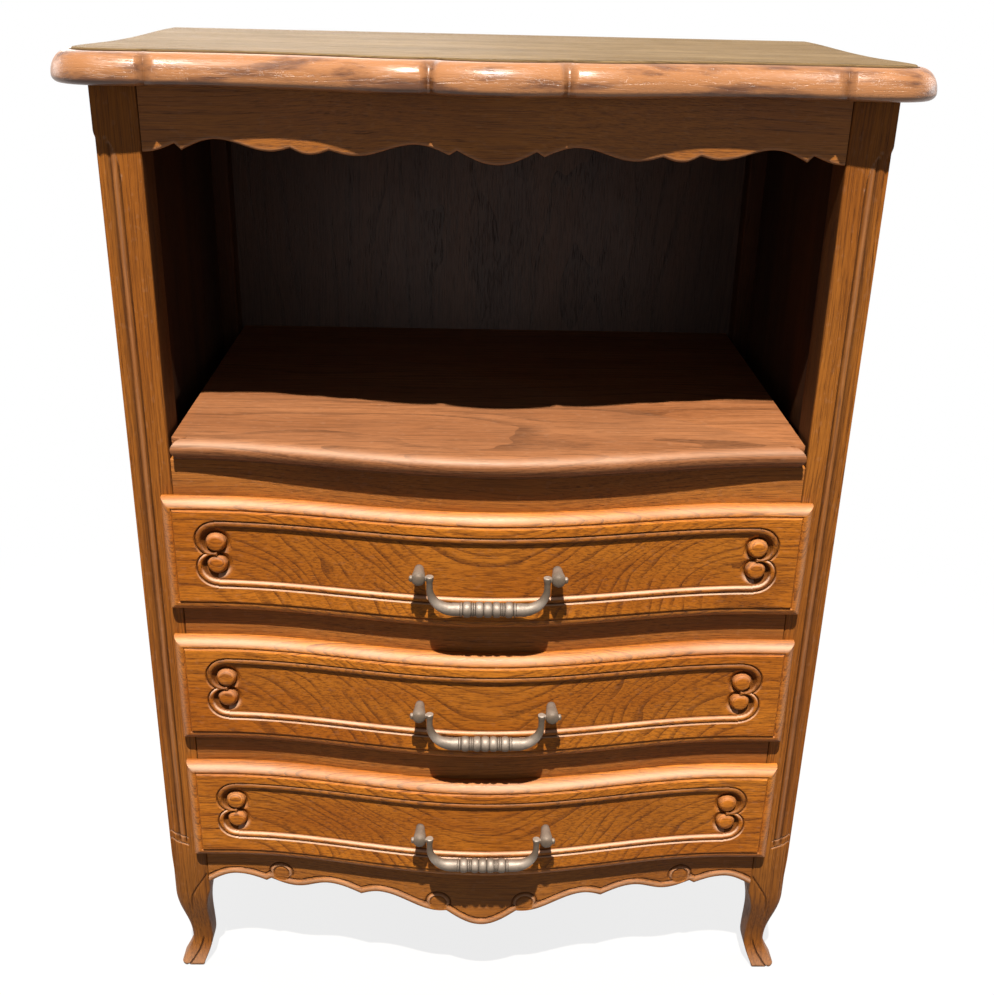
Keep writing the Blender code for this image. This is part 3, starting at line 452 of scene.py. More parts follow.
boxAlong = oakFinish("boxWoodAlong", "x", (0.2, 0.0, 0.0), **boxTones)
boxDeep = oakFinish("boxWoodDeep", "y", (0.7, 0.0, 0.0), **boxTones)
ironFinished = ironFinish("agedIron", ironLook)
print("finishes made")


# Shared ways of making a piece

def smooth(value):
    value = np.clip(value, 0.0, 1.0)
    return value * value * (3 - 2 * value)


def bulge(x, rise=0.0235, width=0.400):
    # how far the swept front stands forward at x
    x = np.asarray(x, float)
    return np.where(np.abs(x) < width / 2, rise * (1 + np.cos(2 * np.pi * x / width)) / 2, 0.0)


def setMark(mesh, key, values):
    layer = mesh.attributes.new(key, "FLOAT", "POINT")
    layer.data.foreach_set("value", np.asarray(values, np.float32).ravel())


def shadeMesh(mesh, angle):
    mesh.shade_smooth()
    mesh.set_sharp_from_angle(angle=math.radians(angle))


def plainMesh(name, points, faces, marks, angle=40):
    mesh = bpy.data.meshes.new(name)
    mesh.from_pydata(np.asarray(points, float).tolist(), [], faces)
    shape = bmesh.new()
    shape.from_mesh(mesh)
    bmesh.ops.recalc_face_normals(shape, faces=shape.faces)
    shape.to_mesh(mesh)
    shape.free()
    for key, values in marks.items():
        setMark(mesh, key, values)
    shadeMesh(mesh, angle)
    return mesh


def takenMesh(holder, name, angle):
    # the finished mesh of an object with a live modifier, which is then removed
    graph = bpy.context.evaluated_depsgraph_get()
    made = bpy.data.meshes.new_from_object(holder.evaluated_get(graph))
    bpy.data.objects.remove(holder)
    made.name = name
    shadeMesh(made, angle)
    return made


def place(name, mesh, finish, body, slotName, *nodes):
    if finish:
        mesh.materials.clear()
        mesh.materials.append(finish)
    piece = bpy.data.objects.new(name, mesh)
    bpy.context.scene.collection.objects.link(piece)
    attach(piece, body)
    if nodes:
        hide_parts(*nodes)
    return piece


def gridFaces(rows, columns, wrap=False, start=0):
    # quads over a grid of points that is stored row by row
    faces = []
    for row in range(rows - 1):
        for column in range(columns if wrap else columns - 1):
            after = (column + 1) % columns
            low, high = start + row * columns, start + (row + 1) * columns
            faces.append((low + column, low + after, high + after, high + column))
    return faces


def lofted(rings):
    # a closed skin over rings that have the same number of points, with flat ends
    count = len(rings[0])
    points = np.concatenate([np.asarray(ring, float) for ring in rings])
    faces = gridFaces(len(rings), count, wrap=True)
    faces.append(tuple(range(count - 1, -1, -1)))
    faces.append(tuple(range((len(rings) - 1) * count, len(rings) * count)))
    return points, faces


def eased(start, end, startStyle, endStyle, share):
    if startStyle == endStyle == "sharp":
        step = share
    elif startStyle == endStyle:
        step = (1 - math.cos(math.pi * share)) / 2
    elif startStyle == "sharp":
        step = math.sin(math.pi * share / 2)
    else:
        step = 1 - math.cos(math.pi * share / 2)
    return start + (end - start) * step


def dropAt(keys, share):
    share = min(abs(share), 1.0)
    for (a, dropA, styleA), (b, dropB, styleB) in zip(keys, keys[1:]):
        if share <= b:
            return eased(dropA, dropB, styleA, styleB, (share - a) / (b - a))
    return keys[-1][1]


def nearest(points, line):
    # distance from every point to the nearest of a line's dense points
    best = np.full(len(points), 1e9)
    for start in range(0, len(points), 4000):
        part = points[start:start + 4000]
        gaps = np.linalg.norm(part[:, None, :] - line[None, :, :], axis=2)
        best[start:start + 4000] = gaps.min(1)
    return best


def densePath(keys, step=0.0004):
    keys = np.asarray(keys, float)
    out = [keys[:1]]
    for a, b in zip(keys, keys[1:]):
        count = max(1, int(np.linalg.norm(b - a) / step))
        shares = np.arange(1, count + 1)[:, None] / count
        out.append(a + (b - a) * shares)
    return np.concatenate(out)


# Drawer fronts with their carved scrolls

frontLook = {
    "lipBack": 0.0003, "lipEdge": 0.0030, "ovoloWidth": 0.0067, "ovoloRise": 0.0065,
    "quirkPlace": 0.0076, "quirkHalf": 0.0008, "quirkDepth": 0.0006,
    "stepPlace": 0.0080, "stepWidth": 0.0010, "stepRise": 0.0012,
    "plugHalf": 0.219, "plugInset": 0.009, "plugBack": 0.014,
    "insets": (0.0, 0.0002, 0.0006, 0.0011, 0.0018, 0.0027, 0.0038, 0.0050, 0.0059, 0.0065, 0.0069, 0.0073,
               0.0076, 0.0080, 0.0084, 0.0088, 0.0093, 0.0100),
    "crown": (0.0034, 0.0026),   # inset and spread of the rubbed crown of the edge, which also carries a painted highlight
    "beadFrom": 0.011,           # the scrolls lie further in than this
}
scrollLook = {
    "middle": 0.0464,      # the scrolls' middle above the drawer's lower edge
    "line": 0.0230, "beadHalf": 0.0023, "beadEnd": 0.0010,
    "panelDepth": 0.0024, "quirkDepth": 0.0015, "quirkWall": 0.0014,
    "button": (0.192, 0.0085), "buttonRadius": 0.0074, "buttonRound": 0.0030, "dome": 0.0008,
    "pit": 0.0024, "pitReach": 0.0024,   # the ground is cut deeper round the buttons
    "turn": 0.0140, "pull": 0.0061, "carvedFrom": 0.176, "fine": 0.00045, "coarse": 0.0042,
    "nearButton": 0.026,   # how near a button the curled end of the bead is looked for
    "waxFoot": 0.0013, "buttonShadeRound": 0.0016, "waxTop": 0.0006,   # how far the dark wax and painted shade spread
    # wear with painted highlight on the upper and lower bead and on the buttons, and painted shade on the
    # upper bead
    "upperBeadWearAndHighlight": 0.20, "lowerBeadWearAndHighlight": 0.85, "buttonWear": 0.15, "upperBeadShade": 0.45,
}


def edgeReach(inset, look):
    share = np.clip(inset / look["ovoloWidth"], 0.0, 1.0)
    reach = look["lipEdge"] + look["ovoloRise"] * np.sqrt(1 - (1 - share) ** 2)
    quirk = np.clip(1 - np.abs(inset - look["quirkPlace"]) / look["quirkHalf"], 0.0, 1.0)
    step = smooth((inset - look["stepPlace"]) / look["stepWidth"])
    return reach + step * look["stepRise"] - quirk * look["quirkDepth"], quirk


def scrollHeight(x, rise, look):
    # height of the carving against the face, at x from the middle and rise from the scrolls' middle
    centre = np.array(look["button"])
    shares = np.linspace(0.0, 1.0, 240)
    angles = np.radians(90 - 180 * shares)
    turns = look["turn"] - look["pull"] * shares ** 1.6
    path = centre + np.stack([np.cos(angles), np.sin(angles)], 1) * turns[:, None]
    girths = look["beadHalf"] + (look["beadEnd"] - look["beadHalf"]) * shares ** 1.5
    spots = np.stack([x, rise], 1)
    out = spots - centre
    away = np.hypot(out[:, 0], out[:, 1])
    onStraight = x <= centre[0]
    gap = np.where(onStraight, np.abs(rise - look["line"]), 1.0)
    girth = np.full(len(x), look["beadHalf"])
    close = np.flatnonzero(np.abs(x - centre[0]) < look["nearButton"])
    for start in range(0, len(close), 4000):
        part = close[start:start + 4000]
        gaps = np.linalg.norm(spots[part][:, None, :] - path[None, :, :], axis=2)
        least = gaps.argmin(1)
        nearer = gaps[np.arange(len(part)), least] < gap[part]
        girth[part] = np.where(nearer, girths[least], girth[part])
        gap[part] = np.minimum(gap[part], gaps.min(1))
    turnHere = np.degrees(np.arctan2(out[:, 1], np.maximum(out[:, 0], 1e-9)))
    limit = np.interp(turnHere, np.degrees(angles[::-1]), turns[::-1])
    within = np.where(onStraight, rise < look["line"], away < limit)
    sunk = np.where(within, look["panelDepth"], look["quirkDepth"])
    share = np.clip(gap / girth, 0.0, 1.0)
    bead = -sunk * (1 - np.sqrt(1 - share ** 2))
    beyond = gap - girth
    outer = -look["quirkDepth"] * (1 - smooth(beyond / look["quirkWall"]))
    moat = np.clip(away - look["buttonRadius"], 0.0, None) / look["pitReach"]
    pit = look["pit"] * np.exp(-moat ** 2) * smooth(beyond / 0.0010)
    ground = np.where(within, -look["panelDepth"] - pit, outer)
    height = np.where(beyond < 0, bead, ground)
    edge = np.clip((look["buttonRadius"] - away) / look["buttonRound"], 0.0, 1.0)
    domed = np.clip(1 - (away / look["buttonRadius"]) ** 2, 0.0, 1.0) * look["dome"]
    button = -(look["panelDepth"] + look["pit"]) * (1 - np.sqrt(1 - (1 - edge) ** 2)) + domed
    height = np.where(away < look["buttonRadius"], np.maximum(height, button), height)
    # dark wax and painted shade sit in the quirk, at the foot and flanks of the bead and round the buttons;
    # the pocket within each curl is painted shade
    quirk = np.where(within | (beyond < 0), 0.0, 1 - smooth(beyond / look["quirkWall"]))
    foot = np.where(within & (beyond > 0), np.exp(-(beyond / look["waxFoot"]) ** 2), 0.0)
    flank = np.where(beyond < 0, smooth((share - 0.78) / 0.22), 0.0)
    outside = away - look["buttonRadius"]
    buttonShade = np.where(within & (outside > 0), np.exp(-(outside / look["buttonShadeRound"]) ** 2), 0.0)
    pocketShade = np.where(within & ~onStraight & (outside > 0) & (beyond > 0), 0.75, 0.0)
    waxAndShade = np.maximum.reduce([quirk, 0.75 * foot, 0.8 * flank, 0.85 * buttonShade, pocketShade])
    waxAndShade = np.where(height > -look["waxTop"], np.minimum(waxAndShade, 0.25), waxAndShade)
    return height, waxAndShade, away < look["buttonRadius"], beyond < 0


def mitredFaces(rows, columns, depth):
    # quads over a grid, split along the diagonals where the moulded edges meet in mitres
    corners = {}
    for step in range(depth):
        for row, flipRow in ((step, False), (rows - 2 - step, True)):
            for column, flipColumn in ((step, False), (columns - 2 - step, True)):
                corners[row * (columns - 1) + column] = flipRow == flipColumn
    faces = []
    for index, (a, b, c, d) in enumerate(gridFaces(rows, columns)):
        if index not in corners:
            faces.append((a, b, c, d))
        elif corners[index]:
            faces += [(a, b, c), (a, c, d)]
        else:
            faces += [(a, b, d), (b, c, d)]
    return faces


def gridBorder(rows, columns):
    # the grid's outer points in order, from the first corner round
    border = list(range(columns))
    border += [row * columns + columns - 1 for row in range(1, rows)]
    border += [(rows - 1) * columns + column for column in range(columns - 2, -1, -1)]
    border += [row * columns for row in range(rows - 2, 0, -1)]
    return border


def drawerFront(number):
    look, carving = frontLook, scrollLook
    node = f"drawer_{number}_front"
    low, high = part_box(node)
    half = high.x
    bottom, top = low.z, high.z
    insets = np.array(look["insets"])
    inner = half - insets[-1]
    fineX = np.arange(carving["carvedFrom"], inner, carving["fine"])
    middleCount = int(2 * carving["carvedFrom"] / carving["coarse"])
    middleX = np.linspace(-carving["carvedFrom"], carving["carvedFrom"], middleCount + 1)[1:-1]
    leftX = np.concatenate([-half + insets, -fineX[:0:-1], [-carving["carvedFrom"]]])
    xs = np.concatenate([leftX, middleX, fineX, (half - insets)[::-1]])
    fineZ = np.arange(bottom + insets[-1], top - insets[-1], carving["fine"])[1:-1]
    zs = np.concatenate([bottom + insets, fineZ, (top - insets)[::-1]])
    gridX, gridZ = np.meshgrid(xs, zs)
    inset = np.minimum(half - np.abs(gridX), np.minimum(gridZ - bottom, top - gridZ))
    reach, quirk = edgeReach(inset, look)
    rise = np.abs(gridZ - bottom - carving["middle"])
    carved = scrollHeight(np.abs(gridX).ravel(), rise.ravel(), carving)
    height, waxAndShade, onButton, bead = [values.reshape(gridX.shape) for values in carved]
    gridY = postFront - bulge(gridX) - reach - height
    front = np.stack([gridX, gridY, gridZ], 2).reshape(-1, 3)
    rows, columns = gridX.shape
    faces = mitredFaces(rows, columns, len(insets) - 1)
    border = gridBorder(rows, columns)
    outline = front[border]
    plugX = outline[:, 0] * look["plugHalf"] / half
    share = (outline[:, 2] - bottom) / (top - bottom)
    plugZ = bottom + look["plugInset"] + share * (top - bottom - 2 * look["plugInset"])
    count = len(border)
    lip = np.stack([outline[:, 0], postFront - bulge(outline[:, 0]) - look["lipBack"], outline[:, 2]], 1)
    neck = np.stack([plugX, postFront - bulge(plugX) - look["lipBack"], plugZ], 1)
    back = np.stack([plugX, np.full(count, postFront + look["plugBack"]), plugZ], 1)
    points = np.concatenate([front, lip, neck, back])
    rings = [border] + [[len(front) + ring * count + i for i in range(count)] for ring in range(3)]
    for near, far in zip(rings, rings[1:]):
        for i in range(count):
            j = (i + 1) % count
            faces.append((near[i], far[i], far[j], near[j]))
    faces.append(tuple(rings[-1]))
    # upward faces of the mouldings are rubbed pale and carry a painted highlight, the others are only a
    # little worn
    upward = np.clip(-np.gradient(reach + height, zs, axis=0), -1.0, 1.6)
    endward = np.clip(np.abs(np.gradient(reach + height, xs, axis=1)), 0.0, 1.0)
    crownPlace, crownSpread = look["crown"]
    crown = np.exp(-((inset - crownPlace) / crownSpread) ** 2)
    upwardWearAndHighlight = 0.45 + 0.35 * smooth(upward / 0.9)
    rubbedElse = 0.06 + 0.14 * smooth(endward / 0.5)
    wearAndHighlight = crown * np.where(upward > 0.02, upwardWearAndHighlight, rubbedElse)
    # beads that face up get wear and a painted highlight, much more on the lower bead than on the upper
    onBead = np.where((inset > look["beadFrom"]) & (waxAndShade < 0.5), smooth(upward / 0.8), 0.0)
    upper = gridZ > bottom + carving["middle"]
    beadWearAndHighlight = np.where(upper, carving["upperBeadWearAndHighlight"], carving["lowerBeadWearAndHighlight"])
    wearAndHighlight = np.maximum(wearAndHighlight, np.where(onButton, carving["buttonWear"], beadWearAndHighlight) * onBead)
    # the panel between the beads is darker, and painted shade lies in the quirk under the top edge moulding
    panel = smooth((-height - 0.0016) / 0.0006)
    under = np.where(top - gridZ <= inset + 1e-6, 0.70, 0.15)
    stainAndShade = np.maximum(waxAndShade * 0.92 + quirk * under, 0.18 * panel)
    # the upper bead gets painted shade
    stainAndShade = np.maximum(stainAndShade, np.where(bead & upper & ~onButton, carving["upperBeadShade"], 0.0))
    extra = 3 * count
    marks = {
        "stainAndShade": np.concatenate([np.clip(stainAndShade, 0, 1).ravel(), np.zeros(extra)]),
        "wearAndHighlight": np.concatenate([wearAndHighlight.ravel(), np.zeros(extra)]),
    }
    mesh = plainMesh(f"drawerFront{number}", points, faces, marks, angle=38)
    place(f"drawerFront{number}", mesh, drawerFinishes[number], f"drawer_{number}", "oak", node)


for number in drawerNumbers:
    drawerFront(number)
print("drawer fronts carved")


# Front legs: stopped corner moulding, cabriole foot with its carved line and cleft toe

legLook = {
    "width": 0.029, "depth": 0.030, "arris": 0.0018, "softArris": 0.0030,
    "round": 0.0064, "sink": 0.0003,           # the corner round between the stops
    # distance from the outer corner and depth of the quirk, ridge and fine line beside the round
    "mould": ((0.0149, 0.0), (0.0146, 0.0006), (0.0142, 0.0012), (0.0138, 0.0010), (0.0135, 0.0006),
              (0.0131, 0.0003), (0.0124, 0.0001), (0.0114, 0.0), (0.0104, 0.0001), (0.0097, 0.0004),
              (0.0093, 0.0008), (0.0090, 0.0010)),
    "flatStep": 0.0007, "footRound": 0.0070,
    "archLow": 0.651, "archRise": 0.026, "archReach": 0.0145, "ledge": 0.0034, "cornerLedge": 0.0100,
    "stops": (0.1400, 0.1330), "stopFall": 0.42, "stopHalf": 0.0009, "stopDepth": 0.0007,
    "kneeLine": ((0.2205, 0.1010), (0.2235, 0.0950), (0.2280, 0.0880), (0.2325, 0.0810), (0.2354, 0.0750),
                 (0.2366, 0.0680), (0.2370, 0.0600), (0.2366, 0.0520)),
    "kneeLineFade": (0.0520, 0.0660), "kneeLineHalf": 0.0009, "kneeLineDepth": 0.0010,
    "cleft": ((0.2318, 0.0235), (0.2330, 0.0180), (0.2356, 0.0116), (0.2400, 0.0055), (0.2448, 0.0)),
    "cleftHalf": 0.0010, "cleftDepth": 0.0013,
    "knee": 0.079, "ankle": 0.024, "ankleBack": 0.0086, "ankleWidth": 0.0168,
    "toe": 0.003, "toeWidth": 0.019, "soleInset": 0.0015,
    "kneeLineTop": 0.104, "cleftTop": 0.0245, "cleftFade": 0.005,
    "softFrom": (0.122, 0.045), "rearSoftFrom": (0.085, 0.03),   # height and fall of the softening corner
    "insideShadeFrom": 0.14,                 # above this the faces towards the inside get painted shade
    "lowDarkening": (0.140, 0.050, 0.30),   # below this, over this fall, the foot darkens by this share
    "cutDeep": 0.0011,                  # a cut this deep is fully dark
    "ridge": (0.0114, 0.0012), "ridgeWear": 0.12, "archWear": 0.25, "stopWear": 0.45,
    "toeWear": (0.02, 0.25),            # height and share
}


def footSize(z, look):
    # set-back of the outer corner, then widths along X and Y
    if z >= look["knee"]:
        return 0.0, look["width"], look["depth"]
    if z >= look["ankle"]:
        share = (look["knee"] - z) / (look["knee"] - look["ankle"])
        back = eased(0.0, look["ankleBack"], "round", "round", share)
        slim = eased(0.0, 1.0, "sharp", "round", share)
        return (
            back, look["width"] + (look["ankleWidth"] - look["width"]) * slim,
            look["depth"] + (look["ankleWidth"] - look["depth"]) * slim,
        )
    if z >= look["toe"]:
        share = (look["ankle"] - z) / (look["ankle"] - look["toe"])
        width = eased(look["ankleWidth"], look["toeWidth"], "round", "sharp", share)
        return eased(look["ankleBack"], 0.0, "round", "sharp", share), width, width
    inset = look["soleInset"] * (1 - math.sqrt(max(0.0, 1 - (1 - z / look["toe"]) ** 2)))
    return inset, look["toeWidth"] - 2 * inset, look["toeWidth"] - 2 * inset


def legSections(look):
    # the same points as a plain square, with the corner moulded, and with a soft corner;
    # each is (distance from the outer side, distance from the front)
    width, depth, arris = look["width"], look["depth"], look["arris"]
    reach = look["round"] + look["sink"]
    plain, moulded, soft = [], [], []

    def add(a, b=None, c=None):
        plain.append(a)
        moulded.append(b or a)
        soft.append(c or a)

    for angle in (0, 30, 60):
        lean = math.radians(angle)
        add((width - arris * (1 - math.cos(lean)), arris * (1 - math.sin(lean))))
    flat = np.arange(width - arris, look["mould"][0][0] + look["flatStep"] / 2, -look["flatStep"])
    for t in flat:
        add((t, 0.0))
    for t, sunk in look["mould"]:
        add((t, 0.0), (t, sunk))
    bend = look["footRound"]
    for angle in (0, 8, 16, 24, 32, 39, 45, 51, 58, 66, 74, 82, 90):
        lean = math.radians(angle)
        turned = (reach - look["round"] * math.sin(lean), reach - look["round"] * math.cos(lean))
        softened = (bend * (1 - math.sin(lean)), bend * (1 - math.cos(lean)))
        if angle < 45:
            square = (reach * (1 - angle / 45), 0.0)
        elif angle == 45:
            square = (look["softArris"] / 3, look["softArris"] / 3)
        else:
            square = (0.0, reach * (angle / 45 - 1))
        add(square, turned, softened)
    for t, sunk in reversed(look["mould"]):
        add((0.0, t), (sunk, t))
    for y in np.linspace(look["mould"][0][0] + 0.003, depth - arris, 4):
        add((0.0, y))
    for angle in (30, 60, 90):
        lean = math.radians(angle)
        add((arris * (1 - math.cos(lean)), depth - arris * (1 - math.sin(lean))))
    for angle in (0, 30, 60, 90):
        lean = math.radians(angle)
        add((width - arris * (1 - math.sin(lean)), depth - arris * (1 - math.cos(lean))))
    add((width, depth * 0.6))
    add((width, depth * 0.3))
    return np.array(plain), np.array(moulded), np.array(soft)


def legLevels(look, high):
    levels = [high, high - 0.006, look["archLow"] + look["archRise"] + 0.004]
    levels += list(np.arange(look["archLow"] + look["archRise"] + 0.003, look["archLow"] - 0.003, -0.0006))
    levels += list(np.linspace(look["archLow"] - 0.006, look["stops"][0] + 0.006, 14))
    levels += list(np.arange(look["stops"][0] + 0.004, look["stops"][1] - 0.012, -0.0004))
    levels += list(np.arange(look["stops"][1] - 0.013, 0.030, -0.0009))
    levels += list(np.arange(0.0297, look["toe"], -0.0006))
    levels += [look["toe"], 0.0022, 0.0014, 0.0007, 0.0002, 0.0]
    return sorted(set(np.round(levels, 6)), reverse=True)


def legMesh(name, side, look, rear=False):
    plain, moulded, soft = legSections(look)
    node = f"{'rear' if rear else 'front'}_leg_{'left' if side < 0 else 'right'}"
    low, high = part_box(node)
    levels = legLevels(look, high.z)
    corner = np.minimum(plain[:, 0], plain[:, 1]) < 1e-3
    t = plain.max(1)   # distance from the corner along a face
    onCorner = corner & (t < look["mould"][0][0] + 0.001)
    frontFace = (plain[:, 1] < 1e-4) & (plain[:, 0] > 1e-4)
    inward = np.clip(look["round"] - moulded, 0.0, None)
    inward = inward / np.maximum(np.linalg.norm(inward, axis=1), 1e-9)[:, None]
    kneeLine = densePath(look["kneeLine"])
    cleft = densePath(look["cleft"])
    points, stainAndShade, wearAndHighlight = [], [], []
    fade = look["kneeLineFade"]
    for z in levels:
        arch = look["archLow"] + look["archRise"] * np.sqrt(np.clip(1 - (t / look["archReach"]) ** 2, 0, 1))
        above = smooth((arch - z) / np.where(t < look["round"], look["cornerLedge"], look["ledge"]))
        fall = look["stopFall"] * t
        lower = smooth((z - look["stops"][1] + fall) / look["ledge"])
        share = np.where(onCorner, above * np.where(t < look["round"], 1.0, lower), 0.0)
        carved = np.zeros(len(t))
        for stop in look["stops"]:
            carved = np.maximum(carved, np.clip(1 - ((z - stop + fall) / look["stopHalf"]) ** 2, 0, 1))
        carved = np.where(onCorner, carved, 0.0)
        softFrom, softOver = look["rearSoftFrom"] if rear else look["softFrom"]
        softness = float(smooth((softFrom - z) / softOver))
        if rear:
            share, carved = share * 0.0, carved * 0.0
        section = plain + (moulded - plain) * share[:, None] * (1 - softness) + (soft - plain) * softness
        section = section + inward * (carved * look["stopDepth"])[:, None]
        back, sizeX, sizeY = footSize(z, look)
        across = back + section[:, 0] * sizeX / look["width"]
        deep = back + section[:, 1] * sizeY / look["depth"]
        x = halfWidth - across
        sunk = np.zeros(len(x))
        if not rear:
            spots = np.stack([x, np.full(len(x), z)], 1)
            for line, label, most, shown in (
                (kneeLine, "kneeLine", look["kneeLineTop"], (z - fade[0]) / (fade[1] - fade[0])),
                (cleft, "cleft", look["cleftTop"], (look["cleftTop"] - z) / look["cleftFade"]),
            ):
                if z < most and shown > 0:
                    cut = np.clip(1 - (nearest(spots, line) / look[label + "Half"]) ** 2, 0, 1)
                    depth = cut * float(smooth(shown)) * look[label + "Depth"]
                    sunk = np.maximum(sunk, np.where(frontFace, depth, 0.0))
        y = postFront + deep + sunk
        if rear:
            y = high.y - deep
        points.append(np.stack([side * x, y, np.full(len(x), z)], 1))
        cut = np.clip(np.abs(moulded - plain).sum(1) / look["cutDeep"], 0, 1)
        groove = np.where(onCorner & (t > look["round"]), cut, 0.0)
        # the faces towards the inside of the chest are darkened: painted shade
        within = 0.85 * smooth((plain[:, 0] - look["width"] + 0.0006) / 0.0006)
        if rear:
            nearInside = np.maximum(plain[:, 0] - look["width"], plain[:, 1] - look["depth"])
            within = smooth((nearInside + 0.0024) / 0.0016)
        within = within * float(z > look["insideShadeFrom"])
        lowFrom, lowOver, lowShare = look["lowDarkening"]
        lowDown = lowShare * float(smooth((lowFrom - z) / lowOver))
        dark = groove * share * 0.8 + sunk / look["cutDeep"] * 0.85 + within
        stainAndShade.append(np.clip(np.maximum(dark, lowDown), 0, 1))
        ridge = np.exp(-((t - look["ridge"][0]) / look["ridge"][1]) ** 2) * share * look["ridgeWear"]
        arched = np.where(onCorner & (t >= look["round"]), 4 * above * (1 - above), 0.0)
        arched = arched * look["archWear"] * float(not rear)
        rubbed = np.maximum.reduce([ridge, arched, carved * look["stopWear"]])
        toeHigh, toeWear = look["toeWear"]
        wearAndHighlight.append(rubbed + toeWear * float(smooth((toeHigh - z) / toeHigh)))
    points, faces = lofted(points)
    marks = {"stainAndShade": np.concatenate(stainAndShade), "wearAndHighlight": np.concatenate(wearAndHighlight)}
    return plainMesh(name, points, faces, marks, angle=42), node


for label, side in (("Left", -1), ("Right", 1)):
    mesh, node = legMesh(f"frontLeg{label}", side, legLook)
    place(f"frontLeg{label}", mesh, postFinish, "carcass", "oak", node)
    mesh, node = legMesh(f"rearLeg{label}", side, legLook, rear=True)
    place(f"rearLeg{label}", mesh, postFinish, "carcass", "oak", node)
print("legs carved")


# Scalloped rails: the front top rail, and the apron with its bead and discs

topRailLook = {
    "edge": ((0.0, 0.0038, "round"), (0.110, -0.0044, "sharp"), (0.132, -0.0015, "sharp"),
             (0.226, -0.0074, "round"), (0.391, 0.0, "round"), (0.469, -0.0030, "sharp"),
             (0.525, -0.0001, "round"), (0.580, -0.0040, "sharp"), (0.638, -0.0016, "round"),
             (0.794, -0.0085, "round"), (0.891, -0.0015, "sharp"), (0.910, -0.0055, "sharp"),
             (1.0, 0.0, "round")),
    "plainLine": 0.664, "thickness": 0.018, "setBack": 0.001, "arris": 0.0016, "bead": None,
    "lift": 0.133,   # how much its edge rises where it stands forward
    "discs": (), "step": 0.0010, "fineRise": 0.010, "fineStep": 0.0006,
}
apronLook = {
    "edge": ((0.0, 0.0216, "round"), (0.127, 0.0083, "sharp"), (0.156, 0.0090, "round"),
             (0.367, -0.0040, "round"), (0.437, 0.0005, "sharp"), (0.552, -0.0060, "round"),
             (0.679, 0.0004, "round"), (0.771, -0.0051, "sharp"), (0.788, -0.0026, "sharp"),
             (0.900, -0.0089, "round"), (1.0, 0.0, "sharp")),
    "plainLine": 0.0895, "thickness": 0.018, "setBack": 0.0, "arris": 0.0014, "lift": 0.0,
    "bead": {"width": 0.0052, "proud": 0.0010, "lineHalf": 0.0009, "lineDepth": 0.0011},
    "discs": ((0.1615, 0.1015, 0.0076), (0.0344, 0.0892, 0.0080)),   # x, z, radius on each half
    "rim": 0.0011, "rimProud": 0.0006, "discGroove": 0.0010,
    "step": 0.0007, "fineRise": 0.026, "fineStep": 0.00065,
}


